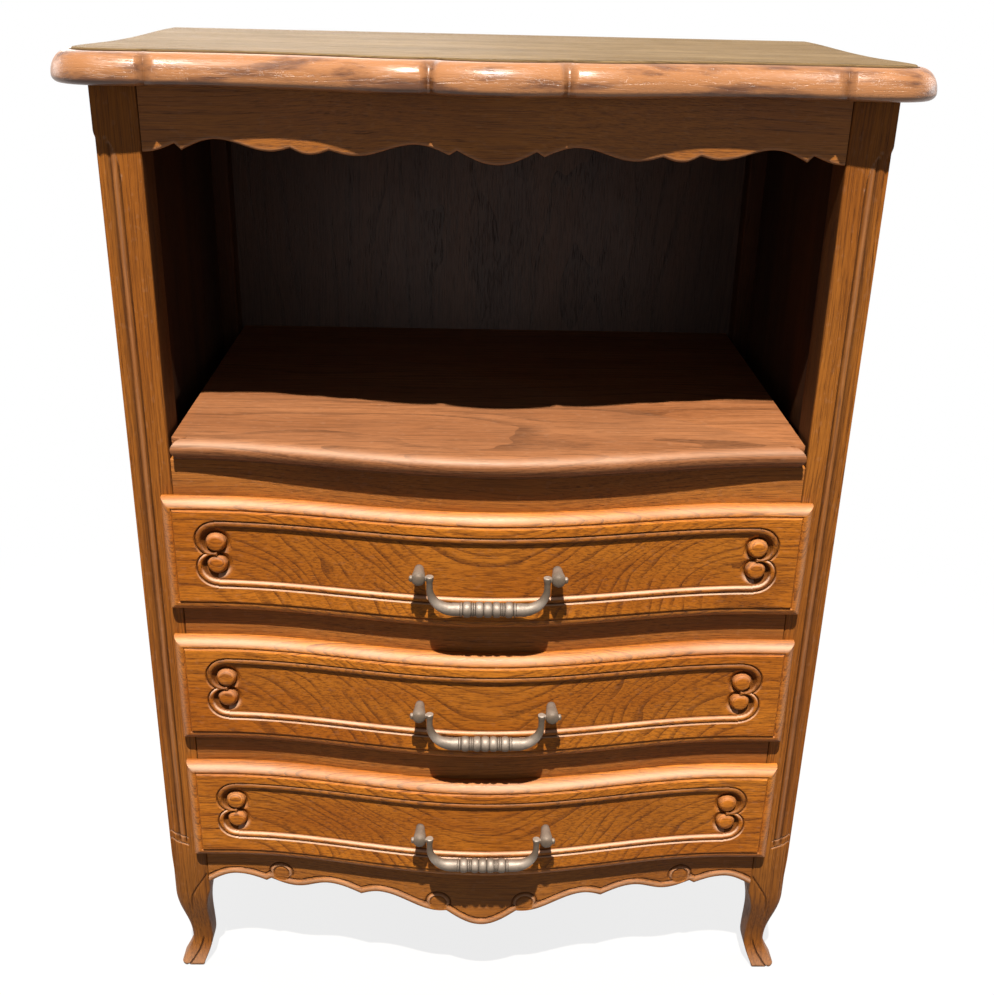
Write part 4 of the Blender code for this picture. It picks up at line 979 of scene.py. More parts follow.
def scallopedRail(name, node, look, finish):
    half = opening - 0.0003
    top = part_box(node)[1].z
    xs = set(np.round(np.linspace(-half, half, int(2 * half / look["step"]) + 1), 6))
    for key in look["edge"]:
        xs |= {round(half * key[0], 6), round(-half * key[0], 6)}
    xs = np.array(sorted(xs))
    edge = np.array([look["plainLine"] - dropAt(look["edge"], x / half) for x in xs])
    edge = edge + look["lift"] * bulge(xs)
    fine = np.arange(0.0, look["fineRise"], look["fineStep"])
    fine = np.concatenate([[0.0, 0.0002, 0.0004], fine[1:]])
    rest = np.linspace(0.0, 1.0, 7)[1:]
    rows = [edge + rise for rise in fine]
    rows += [rows[len(fine) - 1] + (top - rows[len(fine) - 1]) * share for share in rest]
    gridZ = np.array(rows)
    gridX = np.broadcast_to(xs, gridZ.shape)
    spots = np.stack([gridX.ravel(), gridZ.ravel()], 1)
    line = densePath(np.stack([xs, edge], 1), 0.0003)
    gap = np.full(len(spots), 1.0)
    # only what lies near the edge is carved, so distances are worked out there, a stretch at a time
    carvedTo, stretch = 0.014, 0.02
    low = spots[:, 1] < np.repeat(edge[None, :], len(rows), 0).ravel() + carvedTo
    for start in np.arange(-half - stretch, half + stretch, stretch):
        end = start + stretch
        part = np.flatnonzero(low & (spots[:, 0] >= start) & (spots[:, 0] < end))
        window = line[(line[:, 0] > start - carvedTo) & (line[:, 0] < end + carvedTo)]
        if len(part) and len(window):
            gap[part] = nearest(spots[part], window)
    arris = look["arris"]
    fallen = arris - np.sqrt(np.clip(arris ** 2 - (arris - gap) ** 2, 0, None))
    proud = np.where(gap < arris, -fallen, 0.0)
    stainAndShade, wearAndHighlight = np.zeros(len(spots)), np.exp(-((gap - arris * 0.6) / (arris * 0.6)) ** 2) * 0.15
    bead = look["bead"]
    if bead:
        hump = np.clip(1 - ((gap - bead["width"] / 2) / (bead["width"] / 2)) ** 2, 0, 1)
        proud = proud + bead["proud"] * np.sqrt(hump)
        cut = np.clip(1 - ((gap - bead["width"] - bead["lineHalf"]) / bead["lineHalf"]) ** 2, 0, 1)
        proud = proud - cut * bead["lineDepth"]
        stainAndShade = cut * 0.85
        wearAndHighlight = np.exp(-((gap - bead["width"] * 0.72) / 0.0012) ** 2) * 0.40
    for centreX, centreZ, radius in look["discs"]:
        away = np.hypot(np.abs(spots[:, 0]) - centreX, spots[:, 1] - centreZ)
        rim = np.clip(1 - ((away - radius) / look["rim"]) ** 2, 0, 1)
        cut = np.clip(1 - ((away - radius - 1.7 * look["rim"]) / (0.8 * look["rim"])) ** 2, 0, 1)
        inner = np.clip(1 - ((away - radius + 1.6 * look["rim"]) / (0.7 * look["rim"])) ** 2, 0, 1)
        onDisc = away < radius
        keep = smooth((spots[:, 1] - centreZ + 0.55 * radius) / (0.35 * radius))   # the rim opens downwards
        soft = np.where(gap < arris, proud - (bead["proud"] * np.sqrt(hump) if bead else 0.0), 0.0)
        proud = np.where(onDisc, soft + 0.0004, proud)
        proud = proud + rim * look["rimProud"] * keep - (cut + 0.6 * inner) * look["discGroove"] * keep
        stainAndShade = np.where(onDisc, 0.0, stainAndShade)
        stainAndShade = np.clip(np.maximum(stainAndShade, (cut + 0.6 * inner) * 0.85 * keep), 0, 1)
        wearAndHighlight = np.where(onDisc, 0.0, wearAndHighlight)
        wearAndHighlight = np.maximum(wearAndHighlight, rim * 0.45 * keep)
    sweep = bulge(spots[:, 0])
    y = postFront + look["setBack"] - sweep - proud
    front = np.stack([spots[:, 0], y, spots[:, 1]], 1)
    columns = len(xs)
    backY = postFront + look["setBack"] + look["thickness"]
    under = np.stack([xs, np.full(columns, backY), edge], 1)
    over = np.stack([xs, np.full(columns, backY), np.full(columns, top)], 1)
    points = np.concatenate([front, over, under])
    count = len(rows)
    faces = gridFaces(count + 2, columns)
    last = (count + 1) * columns
    for column in range(columns - 1):
        faces.append((last + column, last + column + 1, column + 1, column))
    for column in (0, columns - 1):
        ring = [row * columns + column for row in range(count + 2)]
        faces.append(tuple(ring))
    marks = {
        "stainAndShade": np.concatenate([stainAndShade, np.zeros(2 * columns)]),
        "wearAndHighlight": np.concatenate([wearAndHighlight, np.zeros(2 * columns)]),
    }
    mesh = plainMesh(name, points, faces, marks, angle=42)
    place(name, mesh, finish, "carcass", "oak", node)


scallopedRail("frontTopRail", "front_top_rail", topRailLook, headRailFinish)
scallopedRail("bottomApron", "bottom_apron", apronLook, railFinish)
print("scalloped rails carved")


# Plain swept rails and the shelf

def sweptRail(name, node, finish, arris=0.0009, steps=120):
    low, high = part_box(node)
    half = opening - 0.0003
    backY = high.y
    rings = []
    for x in np.linspace(-half, half, steps + 1):
        front = postFront - float(bulge(x))
        ring = []
        # each corner is a small round, and its turns run on from the corner before
        for cornerY, cornerZ, signY, signZ, turns in (
            (front, low.z, 1, 1, (0, 30, 60, 90)), (front, high.z, 1, -1, (90, 60, 30, 0)),
            (backY, high.z, -1, -1, (0, 30, 60, 90)), (backY, low.z, -1, 1, (90, 60, 30, 0)),
        ):
            for turn in turns:
                lean = math.radians(turn)
                y = cornerY + signY * arris * (1 - math.sin(lean))
                ring.append((x, y, cornerZ + signZ * arris * (1 - math.cos(lean))))
        rings.append(ring)
    points, faces = lofted(rings)
    wearAndHighlight = np.where(np.abs(points[:, 1] - postFront + bulge(points[:, 0])) < 0.0006, 0.02, 0.0)
    mesh = plainMesh(name, points, faces, {"wearAndHighlight": wearAndHighlight})
    place(name, mesh, finish, "carcass", "oak", node)


sweptRail("shelfRail", "shelf_rail", railFinish)
sweptRail("drawerRail1", "drawer_rail_1", railFinish)
sweptRail("drawerRail2", "drawer_rail_2", railFinish)

shelfLook = {
    "half": 0.2185, "endReach": 0.0082, "rise": 0.0275, "steps": 130, "neck": 0.0018,
    "noseOver": (0.0100, 0.0070), "noseUnder": (0.0050, 0.0064), "noseSteps": 10,   # insets, falls
    "tail": ((0.0060, 0.0136), (0.0070, 0.0139), (0.0070, 0.0160)),   # inset and fall under the nose
    "noseWearAndHighlight": (0.40, 0.0028, 0.0018),   # most wear and painted highlight, then the fall and spread of the rubbed, lit line
}


def shelfBoard(look):
    low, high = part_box("shelf")
    half = look["half"]
    frontX = np.linspace(-half, half, look["steps"] + 1)
    front = [(x, -look["endReach"] - float(bulge(x, look["rise"], 2 * half))) for x in frontX]
    over, under = look["noseOver"], look["noseUnder"]
    turns = np.linspace(0, math.pi / 2, look["noseSteps"] + 1)
    nose = [(over[0] * (1 - math.sin(a)), over[1] * (1 - math.cos(a))) for a in turns]
    nose += [(under[0] * (1 - math.cos(a)), over[1] + under[1] * math.sin(a)) for a in turns[1:]]
    rings, wearAndHighlight = [], []
    for inset, fall in nose + list(look["tail"]):
        ring = []
        for x, y in front:
            ring.append((max(inset - half, min(half - inset, x)), y + inset))
        ring += [(half - inset, -look["neck"]), (half, -0.0003), (half, high.y - postFront)]
        ring += [(-half, high.y - postFront), (-half, -0.0003), (inset - half, -look["neck"])]
        rings.append([(x, y + postFront, high.z - fall) for x, y in ring])
        most, middle, spread = look["noseWearAndHighlight"]
        wearAndHighlight += [most * math.exp(-((fall - middle) / spread) ** 2)] * len(front) + [0.0] * 6
    points, faces = lofted(rings)
    mesh = plainMesh("shelfBoard", points, faces, {"wearAndHighlight": wearAndHighlight}, angle=35)
    place("shelfBoard", mesh, shelfFinish, "carcass", "oak", "shelf")


shelfBoard(shelfLook)
print("rails and shelf made")


# Top board with its stepped nose, ears and cusps

topLook = {
    # half widths at the back, the waist and the ears, and where along the side the last two lie
    "back": 0.2785, "waist": 0.2675, "waistPlace": 0.085, "side": 0.2735, "earPlace": 0.012,
    "earFront": (0.240, 0.0226), "earSag": 0.0006, "earCusp": (0.2105, 0.0206),
    "turnShare": 0.74, "hollow": 0.0075, "swell": 0.0026,
    "centreCusp": (0.0415, 0.0386), "centreReach": 0.0474,
    "earNotch": (0.0050, 0.0034), "centreNotch": (0.0046, 0.0026),   # half width, depth
    "lip": 0.0040,       # how far the nose hangs below the board
    "lipIn": (0.0185, 0.0140), "lipFoot": ((0.0135, 0.0015), (0.0122, 0.0)),   # its inner side: inset, rise
    "backShare": 0.4,    # how the underside draws in at the back, where there is no lip
    # painted shade in the quirk above the nose, and stain with painted shade at the notches
    "quirkEnd": 0.0135, "quirkShade": 0.85, "notchStainAndShade": 0.45, "notchLeast": 0.80,
    "noseUnder": (0.0050, 0.0044), "noseOver": (0.0118, 0.0146), "noseSteps": 14,   # insets, rises
    # inset and rise of the quirk and step above the nose
    "step": ((0.0121, 0.0188), (0.0125, 0.0187), (0.0130, 0.0188), (0.0134, 0.0192), (0.0136, 0.0197),
             (0.0140, 0.0202), (0.0147, 0.0204), (0.0155, 0.0205)),
    "field": (0.86, 0.045),   # the flat inside the step: share of the width, distance from the front
}


def topOutline(look):
    # the outer edge in plan from the back left corner round the front, and the notch at each point
    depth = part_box("top_board")[1].y - postFront
    side, waist = look["side"], look["waist"]
    left = [(-look["back"], depth)]
    for start, end, near, far, steps in (
        (look["back"], waist, depth, look["waistPlace"], 22),
        (waist, side, look["waistPlace"], look["earPlace"], 16),
    ):
        for share in np.linspace(0, 1, steps + 1)[1:]:
            left.append((-eased(start, end, "round", "round", share), near + (far - near) * share))
    lobe = -np.array(look["earFront"])
    for angle in np.linspace(0, np.pi / 2, 31)[1:]:
        left.append((
            lobe[0] + (-side - lobe[0]) * math.cos(angle),
            look["earPlace"] + (lobe[1] - look["earPlace"]) * math.sin(angle),
        ))

    def arc(start, end, sag, steps):
        start, end = np.array(start), np.array(end)
        way = end - start
        out = np.array((way[1], -way[0])) / np.linalg.norm(way)
        shares = (1 - np.cos(np.linspace(0, np.pi, steps + 1)[1:])) / 2
        return [tuple(start + way * share + out * sag * 4 * share * (1 - share)) for share in shares]

    cusp = -np.array(look["earCusp"])
    centre = -np.array(look["centreCusp"])
    turn = cusp + (centre - cusp) * look["turnShare"]
    left += arc(lobe, cusp, look["earSag"], 36)
    left += arc(cusp, turn, -look["hollow"], 60)
    left += arc(turn, centre, look["swell"], 50)
    middle = arc(centre, (-centre[0], centre[1]), look["centreReach"] - look["centreCusp"][1], 50)[:-1]
    points = np.array(left + middle + [(-x, y) for x, y in reversed(left)])
    notch = np.zeros(len(points))
    for (placeX, placeY), (wide, deep) in (
        (look["earCusp"], look["earNotch"]), (look["centreCusp"], look["centreNotch"]),
    ):
        gap = np.hypot(np.abs(points[:, 0]) - placeX, points[:, 1] + placeY)
        notch = np.maximum(notch, deep * np.clip(1 - gap / wide, 0, 1) ** 1.15)
    return points, notch


def insetOutline(points, inset, atBack):
    before, after = np.roll(points, 1, 0), np.roll(points, -1, 0)
    wayIn = (points - before) / np.linalg.norm(points - before, axis=1)[:, None]
    wayOut = (after - points) / np.linalg.norm(after - points, axis=1)[:, None]
    inward = np.stack([-wayIn[:, 1] - wayOut[:, 1], wayIn[:, 0] + wayOut[:, 0]], 1)
    inward /= np.linalg.norm(inward, axis=1)[:, None]
    stretch = 1 / np.maximum(0.6, (inward * np.stack([-wayIn[:, 1], wayIn[:, 0]], 1)).sum(1))
    inward[atBack] = np.stack([-np.sign(points[atBack, 0]), np.zeros(atBack.sum())], 1)
    stretch[atBack] = 1.0
    return points + inward * (inset * stretch)[:, None]


def topBoard(look):
    low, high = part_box("top_board")
    outline, notch = topOutline(look)
    back = high.y - postFront
    underIn, underRise = look["noseUnder"]
    overIn, overRise = look["noseOver"]
    noseTop = underRise + overRise
    angles = np.linspace(0, math.pi / 2, look["noseSteps"] + 1)
    profile = [(inset, look["lip"]) for inset in look["lipIn"]] + list(look["lipFoot"])
    profile += [(underIn * (1 - math.sin(a)), underRise * (1 - math.cos(a))) for a in angles]
    profile += [(overIn * (1 - math.cos(a)), underRise + overRise * math.sin(a)) for a in angles[1:]]
    profile += list(look["step"])
    atBack = outline[:, 1] > back - 0.0003
    rings, stainAndShade, wearAndHighlight = [], [], []
    for inset, rise in profile:
        onNose = float(inset <= overIn and rise <= noseTop)
        deepest = math.sin(math.pi * min(1.0, rise / noseTop))
        scoop = notch * (look["notchLeast"] + (1 - look["notchLeast"]) * deepest)
        ring = insetOutline(outline, inset + scoop, atBack)
        height = np.full(len(ring), low.z - look["lip"] + rise)
        if rise <= look["lip"]:
            # the back edge is flush with the posts, so it has no lip
            height[atBack] = low.z
            ring[atBack, 1] -= look["backShare"] * inset
        rings.append(np.column_stack([ring[:, 0], ring[:, 1] + postFront, height]))
        # the quirk gets painted shade, and the notches stain with painted shade
        inQuirk = look["quirkShade"] if overIn < inset < look["quirkEnd"] else 0.0
        stainAndShade.append(np.clip(inQuirk + notch / look["earNotch"][1] * look["notchStainAndShade"] * onNose, 0, 1))
        wearAndHighlight.append(np.full(len(ring), onNose))
    # plain rings within the two flats, so that their fields are simple
    for at, edge in ((0, rings[0]), (len(rings) + 1, rings[-1])):
        field = edge.copy()
        field[:, 0] *= look["field"][0]
        field[:, 1] = np.clip(field[:, 1], postFront + look["field"][1], high.y - look["field"][1])
        rings.insert(at, field)
        stainAndShade.insert(at, np.zeros(len(field)))
        wearAndHighlight.insert(at, np.zeros(len(field)))
    points, faces = lofted(rings)
    marks = {"stainAndShade": np.concatenate(stainAndShade), "wearAndHighlight": np.concatenate(wearAndHighlight)}
    mesh = plainMesh("topBoard", points, faces, marks, angle=48)
    place("topBoard", mesh, topFinish, "carcass", "oak_top", "top_board")


topBoard(topLook)
print("top board made")


# Boards that keep the frame's shape: their edges are eased

def easedBoard(name, node, finish, slotName, body="carcass", darkInside=None, width=0.0008):
    shape = bmesh.new()
    shape.from_mesh(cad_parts[node].data)
    bmesh.ops.remove_doubles(shape, verts=shape.verts, dist=1e-5)
    bmesh.ops.dissolve_limit(shape, angle_limit=math.radians(1), verts=shape.verts, edges=shape.edges)
    mesh = bpy.data.meshes.new(name)
    shape.to_mesh(mesh)
    shape.free()
    holder = bpy.data.objects.new(name + "Rough", mesh)
    bpy.context.scene.collection.objects.link(holder)
    bevel = holder.modifiers.new("easing", "BEVEL")
    bevel.width = width
    bevel.segments = 2
    bevel.limit_method = "ANGLE"
    bevel.angle_limit = math.radians(35)
    bevel.use_clamp_overlap = True
    made = takenMesh(holder, name, 30)
    if darkInside is not None:
        # the face towards the inside of the chest is darkened: painted shade
        setMark(made, "stainAndShade", [float(abs(vertex.co.x) < darkInside) for vertex in made.vertices])
    place(name, made, finish, body, slotName, node)


railInside, panelInside = 0.2295, 0.2355   # the side rails and panels get painted shade within these half widths
for label in ("left", "right"):
    tail = label.capitalize()
    easedBoard(f"sideTopRail{tail}", f"side_top_rail_{label}", sideRailFinish, "oak", darkInside=railInside)
    easedBoard(f"sideBottomRail{tail}", f"side_bottom_rail_{label}", sideRailFinish, "oak")
    easedBoard(f"sidePanel{tail}", f"side_panel_{label}", sideFinish, "oak", darkInside=panelInside)
    easedBoard(f"shelfBearer{tail}", f"shelf_bearer_{label}", innerDeep, "oak_inner")
    for number in drawerNumbers:
        body = f"drawer_{number}"
        easedBoard(f"runner{number}{tail}", f"{body}_runner_{label}", innerDeep, "oak_inner")
        easedBoard(f"drawerSide{number}{tail}", f"{body}_side_{label}", boxDeep, "drawer_wood", body)
easedBoard("backPanel", "back_panel", innerUpright, "oak_inner")
easedBoard("backTopRail", "back_top_rail", innerAlong, "oak_inner")
easedBoard("backBottomRail", "back_bottom_rail", innerAlong, "oak_inner")
for number in drawerNumbers:
    body = f"drawer_{number}"
    easedBoard(f"drawerBack{number}", f"{body}_back", boxAlong, "drawer_wood", body)
    easedBoard(f"drawerBottom{number}", f"{body}_bottom", boxAlong, "drawer_wood", body)
print("boards eased")


# Node trees for the ironwork: tubes along a path, nuts behind the fronts and nails in the back

def newTree(name, look):
    # a tree with an input for each size in the look, and one for the finish
    tree = bpy.data.node_groups.new(name, "GeometryNodeTree")
    tree.interface.new_socket("Geometry", in_out="INPUT", socket_type="NodeSocketGeometry")
    for label, value in look.items():
        kind = "NodeSocketInt" if isinstance(value, int) else "NodeSocketFloat"
        tree.interface.new_socket(label, in_out="INPUT", socket_type=kind).default_value = value
    tree.interface.new_socket("Finish", in_out="INPUT", socket_type="NodeSocketMaterial")
    tree.interface.new_socket("Geometry", in_out="OUTPUT", socket_type="NodeSocketGeometry")
    return tree, tree.nodes.new("NodeGroupInput"), tree.nodes.new("NodeGroupOutput")


def closeTree(tree, source, given, out):
    real = tree.nodes.new("GeometryNodeRealizeInstances")
    tree.links.new(source, real.inputs[0])
    coat = tree.nodes.new("GeometryNodeSetMaterial")
    tree.links.new(real.outputs[0], coat.inputs["Geometry"])
    tree.links.new(given.outputs["Finish"], coat.inputs["Material"])
    tree.links.new(coat.outputs[0], out.inputs[0])


def treeMesh(name, source, tree, look, angle=35):
    settings = {**look, "Finish": ironFinished}
    holder = bpy.data.objects.new(name + "Seed", source)
    bpy.context.scene.collection.objects.link(holder)
    modifier = holder.modifiers.new("shape", "NODES")
    modifier.node_group = tree
    for item in tree.interface.items_tree:
        if item.item_type == "SOCKET" and item.in_out == "INPUT" and item.name in settings:
            modifier[item.identifier] = settings[item.name]
    return takenMesh(holder, name, angle)


tubeLook = {"Sides": 28}


def tubeTree():
    tree, given, out = newTree("ironTube", tubeLook)
    curve = tree.nodes.new("GeometryNodeMeshToCurve")
    girth = tree.nodes.new("GeometryNodeInputNamedAttribute")
    girth.data_type = "FLOAT"
    girth.inputs["Name"].default_value = "girth"
    radius = tree.nodes.new("GeometryNodeSetCurveRadius")
    ring = tree.nodes.new("GeometryNodeCurvePrimitiveCircle")
    ring.inputs["Radius"].default_value = 1.0
    skin = tree.nodes.new("GeometryNodeCurveToMesh")
    skin.inputs["Fill Caps"].default_value = True
    tree.links.new(given.outputs["Geometry"], curve.inputs["Mesh"])
    tree.links.new(curve.outputs[0], radius.inputs["Curve"])
    tree.links.new(girth.outputs["Attribute"], radius.inputs["Radius"])
    tree.links.new(given.outputs["Sides"], ring.inputs["Resolution"])
    tree.links.new(radius.outputs[0], skin.inputs["Curve"])
    tree.links.new(ring.outputs["Curve"], skin.inputs["Profile Curve"])
    if "Scale" in skin.inputs:
        tree.links.new(girth.outputs["Attribute"], skin.inputs["Scale"])
    closeTree(tree, skin.outputs[0], given, out)
    return tree


bailLook = {
    "drop": 0.0235, "bend": 0.0160, "arm": 0.0404, "armRadius": 0.0022, "armTop": 0.0017,
    "eyeRadius": 0.0028, "pinRadius": 0.0017, "pinStart": 0.0392, "pinEnd": 0.0546,
    # how far before the pin's end each ring of its knob lies, and its share of the pin's radius
    "pinKnob": ((0.0030, 1.0), (0.0024, 1.25), (0.0012, 1.4), (0.0004, 1.1), (0.0, 0.5)),
    "gripRadius": 0.0047, "valley": 0.0043, "crest": 0.0056,
    # place along the grip and half width of its beads and fine rings, on each side of the middle
    "beads": ((0.0, 0.0029), (0.0060, 0.0027), (0.0095, 0.0006), (0.0109, 0.0006), (0.0145, 0.0028),
              (0.0186, 0.0008)),
    "beadedTo": 0.0196, "gripSteps": 150,
}


def gripGirth(x, look):
    if x > look["beadedTo"]:
        return look["gripRadius"]
    swells = []
    for spot, half in look["beads"]:
        height = min(1.0, 0.35 + half / 0.0040)   # a fine ring stands lower than a bead
        swells.append(height * math.sqrt(max(0.0, 1 - ((x - spot) / half) ** 2)))
    return look["valley"] + (look["crest"] - look["valley"]) * max(swells)


def bailPath(look):
    half = []
    gripEnd = look["arm"] - look["bend"]
    for x in np.linspace(0.0, gripEnd, look["gripSteps"]):
        half.append((x, -look["drop"], gripGirth(x, look)))
    for share in np.linspace(0, 1, 19)[1:]:
        angle = math.pi / 2 * share
        slim = look["gripRadius"] + (look["armRadius"] - look["gripRadius"]) * share
        x = gripEnd + look["bend"] * math.sin(angle)
        half.append((x, -look["drop"] + look["bend"] * (1 - math.cos(angle)), slim))
    rise = look["armTop"] + look["drop"] - look["bend"]
    for share in np.linspace(0, 1, 12)[1:]:
        flare = (look["eyeRadius"] - look["armRadius"]) * float(smooth((share - 0.45) / 0.4))
        half.append((look["arm"], -look["drop"] + look["bend"] + rise * share, look["armRadius"] + flare))
    half.append((look["arm"], look["armTop"] + 0.0003, look["eyeRadius"] * 0.86))
    return [(-x, z, r) for x, z, r in reversed(half[1:])] + half


def pinPath(look, side):
    shape = [(look["pinStart"], 1.0)]   # it starts inside the arm
    shape += [(look["pinEnd"] - before, share) for before, share in look["pinKnob"]]
    return [(side * x, 0.0, look["pinRadius"] * share) for x, share in shape]


tube = tubeTree()


def bail(number):
    body = f"bail_{number}"
    low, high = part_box(f"drawer_{number}_bail")
    pinY = (low.y + high.y) / 2
    low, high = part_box(f"drawer_{number}_handle_post_left")
    pinZ = (low.z + high.z) / 2
    path = bailPath(bailLook)
    links = [(i, i + 1) for i in range(len(path) - 1)]
    for side in (-1, 1):
        pin = pinPath(bailLook, side)
        links += [(len(path) + i, len(path) + i + 1) for i in range(len(pin) - 1)]
        path = path + pin
    mesh = bpy.data.meshes.new("bailPath")
    points = [(x, pinY, pinZ + z) for x, z, radius in path]
    mesh.from_pydata(points, links, [])
    setMark(mesh, "girth", [radius for x, z, radius in path])
    made = treeMesh(f"bail{number}", mesh, tube, tubeLook)
    spots = np.array([v.co for v in made.vertices])
    # the upper front of the grip and the tops of the arms are rubbed bright and carry a painted highlight
    upper = smooth((spots[:, 2] - pinZ + 0.0255) / 0.006) * smooth((pinZ - 0.011 - spots[:, 2]) / 0.008)
    front = smooth((pinY + 0.002 - spots[:, 1]) / 0.005)
    rubAndHighlight = 0.35 * upper + 0.45 * upper * front + smooth((spots[:, 2] - pinZ - 0.0012) / 0.0004)
    groove = np.zeros(len(spots))
    onGrip = (np.abs(spots[:, 0]) < bailLook["beadedTo"]) & (spots[:, 2] < pinZ - 0.013)
    girth = np.hypot(spots[:, 1] - pinY, spots[:, 2] - pinZ + bailLook["drop"])
    groove[onGrip] = 1 - smooth((girth[onGrip] - bailLook["valley"]) / 0.0006)
    setMark(made, "wearAndHighlight", np.clip(rubAndHighlight, 0, 1) * (1 - groove))
    setMark(made, "stainAndShade", 0.75 * groove)
    place(f"bail{number}", made, None, body, "iron", f"drawer_{number}_bail")


postLook = {
    "spacing": 0.048, "sides": 40, "reach": 0.0186,   # of the frame's post in front of the face
    # place in front of the face and radius, from the sunk panel to the tip
    "turned": ((-0.0034, 0.0020), (-0.0034, 0.0031), (-0.0020, 0.0033), (0.0, 0.0035), (0.0020, 0.0037),
               (0.0045, 0.0040), (0.0070, 0.0044), (0.0095, 0.0047), (0.0115, 0.0049), (0.0130, 0.0049),
               (0.0142, 0.0047), (0.0152, 0.0042), (0.0159, 0.0035), (0.0164, 0.0026), (0.0167, 0.0015),
               (0.0168, 0.0005)),
}


def handlePost(number, label, side):
    look = postLook
    node = f"drawer_{number}_handle_post_{label}"
    low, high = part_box(node)
    face = low.y + look["reach"]
    middleZ = (low.z + high.z) / 2
    profile = [(face - high.y, 0.0020)] + list(look["turned"])
    rings, wearAndHighlight, stainAndShade = [], [], []
    for reach, radius in profile:
        angles = 2 * np.pi * (np.arange(look["sides"]) + 0.5) / look["sides"]
        ringX = side * look["spacing"] + radius * np.cos(angles)
        ringY = np.full(look["sides"], face - reach)
        rings.append(np.stack([ringX, ringY, middleZ + radius * np.sin(angles)], 1))
        # the upper side of the post is rubbed pale and carries a painted highlight
        upper = smooth(np.sin(angles) * 0.9 + 0.35)
        wearAndHighlight.append(0.60 * upper * (1 - float(smooth((reach - 0.0130) / 0.003))))
        stainAndShade.append(np.full(look["sides"], 0.5 if reach < -0.0010 else 0.0))
    points, faces = lofted(rings)
    marks = {"wearAndHighlight": np.concatenate(wearAndHighlight), "stainAndShade": np.concatenate(stainAndShade)}
    mesh = plainMesh(f"handlePost{number}{label.capitalize()}", points, faces, marks, angle=50)
    place(f"handlePost{number}{label.capitalize()}", mesh, ironFinished, f"drawer_{number}", "iron", node)


nutLook = {"Nut Radius": 0.0047, "Nut Height": 0.0030, "Washer Radius": 0.0066, "Washer Height": 0.0010}


def nutTree():
    tree, given, out = newTree("shankNuts", nutLook)

    def disc(sides, radius, height):
        shape = tree.nodes.new("GeometryNodeMeshCylinder")
        shape.inputs["Vertices"].default_value = sides
        tree.links.new(given.outputs[radius], shape.inputs["Radius"])
        tree.links.new(given.outputs[height], shape.inputs["Depth"])
        return shape.outputs["Mesh"]

    def moved(source, along):
        shift = tree.nodes.new("GeometryNodeTransform")
        shift.inputs["Rotation"].default_value = (math.pi / 2, 0.0, 0.0)
        way = tree.nodes.new("ShaderNodeCombineXYZ")
        tree.links.new(along, way.inputs["Y"])
        tree.links.new(source, shift.inputs["Geometry"])
        tree.links.new(way.outputs[0], shift.inputs["Translation"])
        return shift.outputs[0]

    washerHeight = given.outputs["Washer Height"]
    washerMiddle = mathNode(tree, "MULTIPLY", washerHeight, 0.5)
    washer = moved(disc(28, "Washer Radius", "Washer Height"), washerMiddle)
    nutMiddle = mathNode(tree, "MULTIPLY_ADD", given.outputs["Nut Height"], 0.5, washerHeight)
    nut = moved(disc(6, "Nut Radius", "Nut Height"), nutMiddle)
    both = tree.nodes.new("GeometryNodeJoinGeometry")
    tree.links.new(washer, both.inputs[0])
    tree.links.new(nut, both.inputs[0])
    spread = tree.nodes.new("GeometryNodeInstanceOnPoints")
    tree.links.new(given.outputs["Geometry"], spread.inputs["Points"])
    tree.links.new(both.outputs[0], spread.inputs["Instance"])
    closeTree(tree, spread.outputs[0], given, out)
    return tree


nailLook = {"Spacing": 0.062, "Head Radius": 0.0021, "Seed": 4}


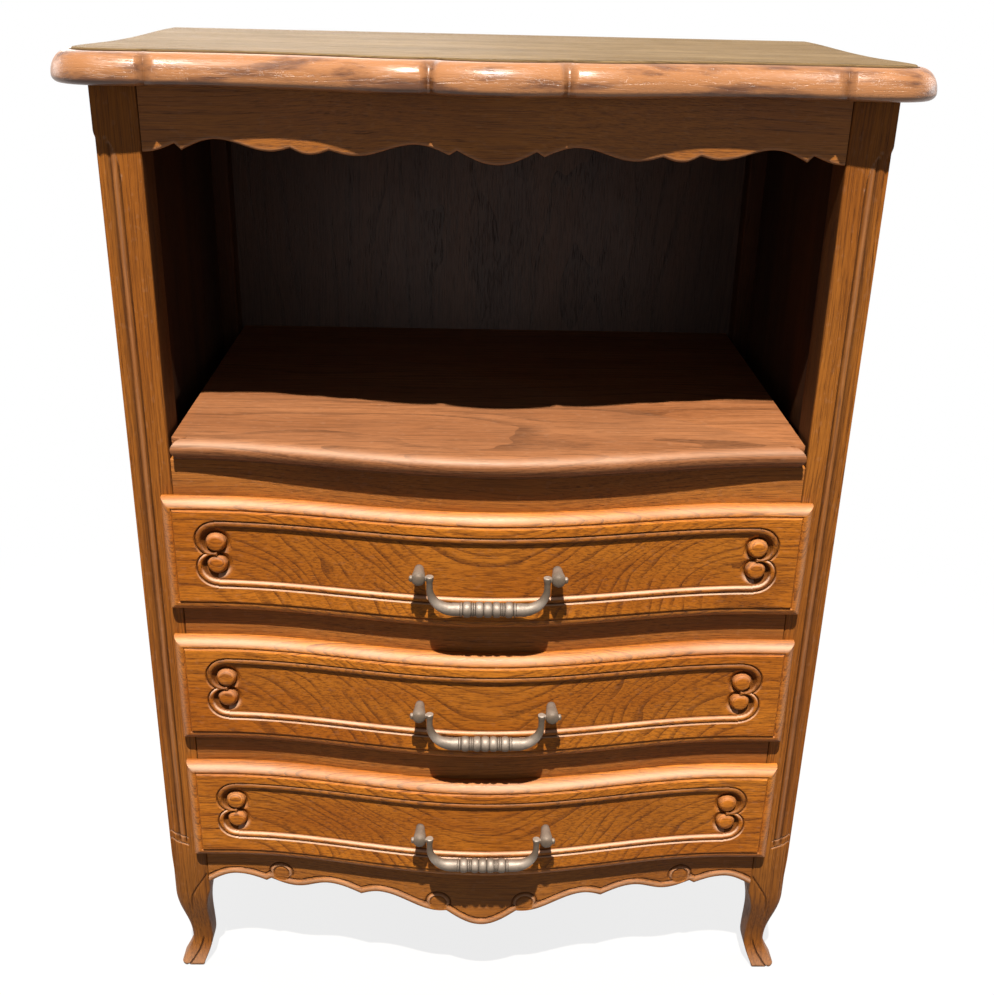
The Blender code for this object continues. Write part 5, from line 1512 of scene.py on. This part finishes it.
def nailTree():
    tree, given, out = newTree("backNails", nailLook)
    curve = tree.nodes.new("GeometryNodeMeshToCurve")
    even = tree.nodes.new("GeometryNodeResampleCurve")
    even.mode = "LENGTH"
    head = tree.nodes.new("GeometryNodeMeshUVSphere")
    head.inputs["Segments"].default_value = 10
    head.inputs["Rings"].default_value = 6
    flat = tree.nodes.new("GeometryNodeTransform")
    flat.inputs["Scale"].default_value = (1.0, 0.38, 1.0)
    size = tree.nodes.new("FunctionNodeRandomValue")
    size.data_type = "FLOAT"
    size.inputs[2].default_value = 0.85
    size.inputs[3].default_value = 1.12
    spread = tree.nodes.new("GeometryNodeInstanceOnPoints")
    tree.links.new(given.outputs["Geometry"], curve.inputs["Mesh"])
    tree.links.new(curve.outputs[0], even.inputs["Curve"])
    tree.links.new(given.outputs["Spacing"], even.inputs["Length"])
    tree.links.new(given.outputs["Head Radius"], head.inputs["Radius"])
    tree.links.new(head.outputs["Mesh"], flat.inputs["Geometry"])
    tree.links.new(given.outputs["Seed"], size.inputs["Seed"])
    tree.links.new(even.outputs[0], spread.inputs["Points"])
    tree.links.new(flat.outputs[0], spread.inputs["Instance"])
    tree.links.new(size.outputs[1], spread.inputs["Scale"])
    closeTree(tree, spread.outputs[0], given, out)
    return tree


nuts = nutTree()
nails = nailTree()
for number in drawerNumbers:
    bail(number)
    spots = []
    for label, side in (("left", -1), ("right", 1)):
        handlePost(number, label, side)
        low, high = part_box(f"drawer_{number}_handle_post_{label}")
        spots.append((side * postLook["spacing"], postFront + frontLook["plugBack"], (low.z + high.z) / 2))
    source = bpy.data.meshes.new("nutSpots")
    source.from_pydata(spots, [], [])
    made = treeMesh(f"shankNuts{number}", source, nuts, nutLook)
    place(f"shankNuts{number}", made, None, f"drawer_{number}", "iron")

panelLow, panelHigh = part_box("back_panel")
nailMargin = 0.0055   # from the panel's edges
lineX, lineLow, lineHigh = panelHigh.x - nailMargin, panelLow.z + nailMargin, panelHigh.z - nailMargin
source = bpy.data.meshes.new("nailLine")
nailCorners = [(-lineX, lineLow), (-lineX, lineHigh), (lineX, lineHigh), (lineX, lineLow)]
nailCorners.append(nailCorners[0])
source.from_pydata([(x, panelHigh.y, z) for x, z in nailCorners], [(0, 1), (1, 2), (2, 3), (3, 4)], [])
made = treeMesh("backNails", source, nails, nailLook)
place("backNails", made, None, "carcass", "iron")
print("ironwork made")
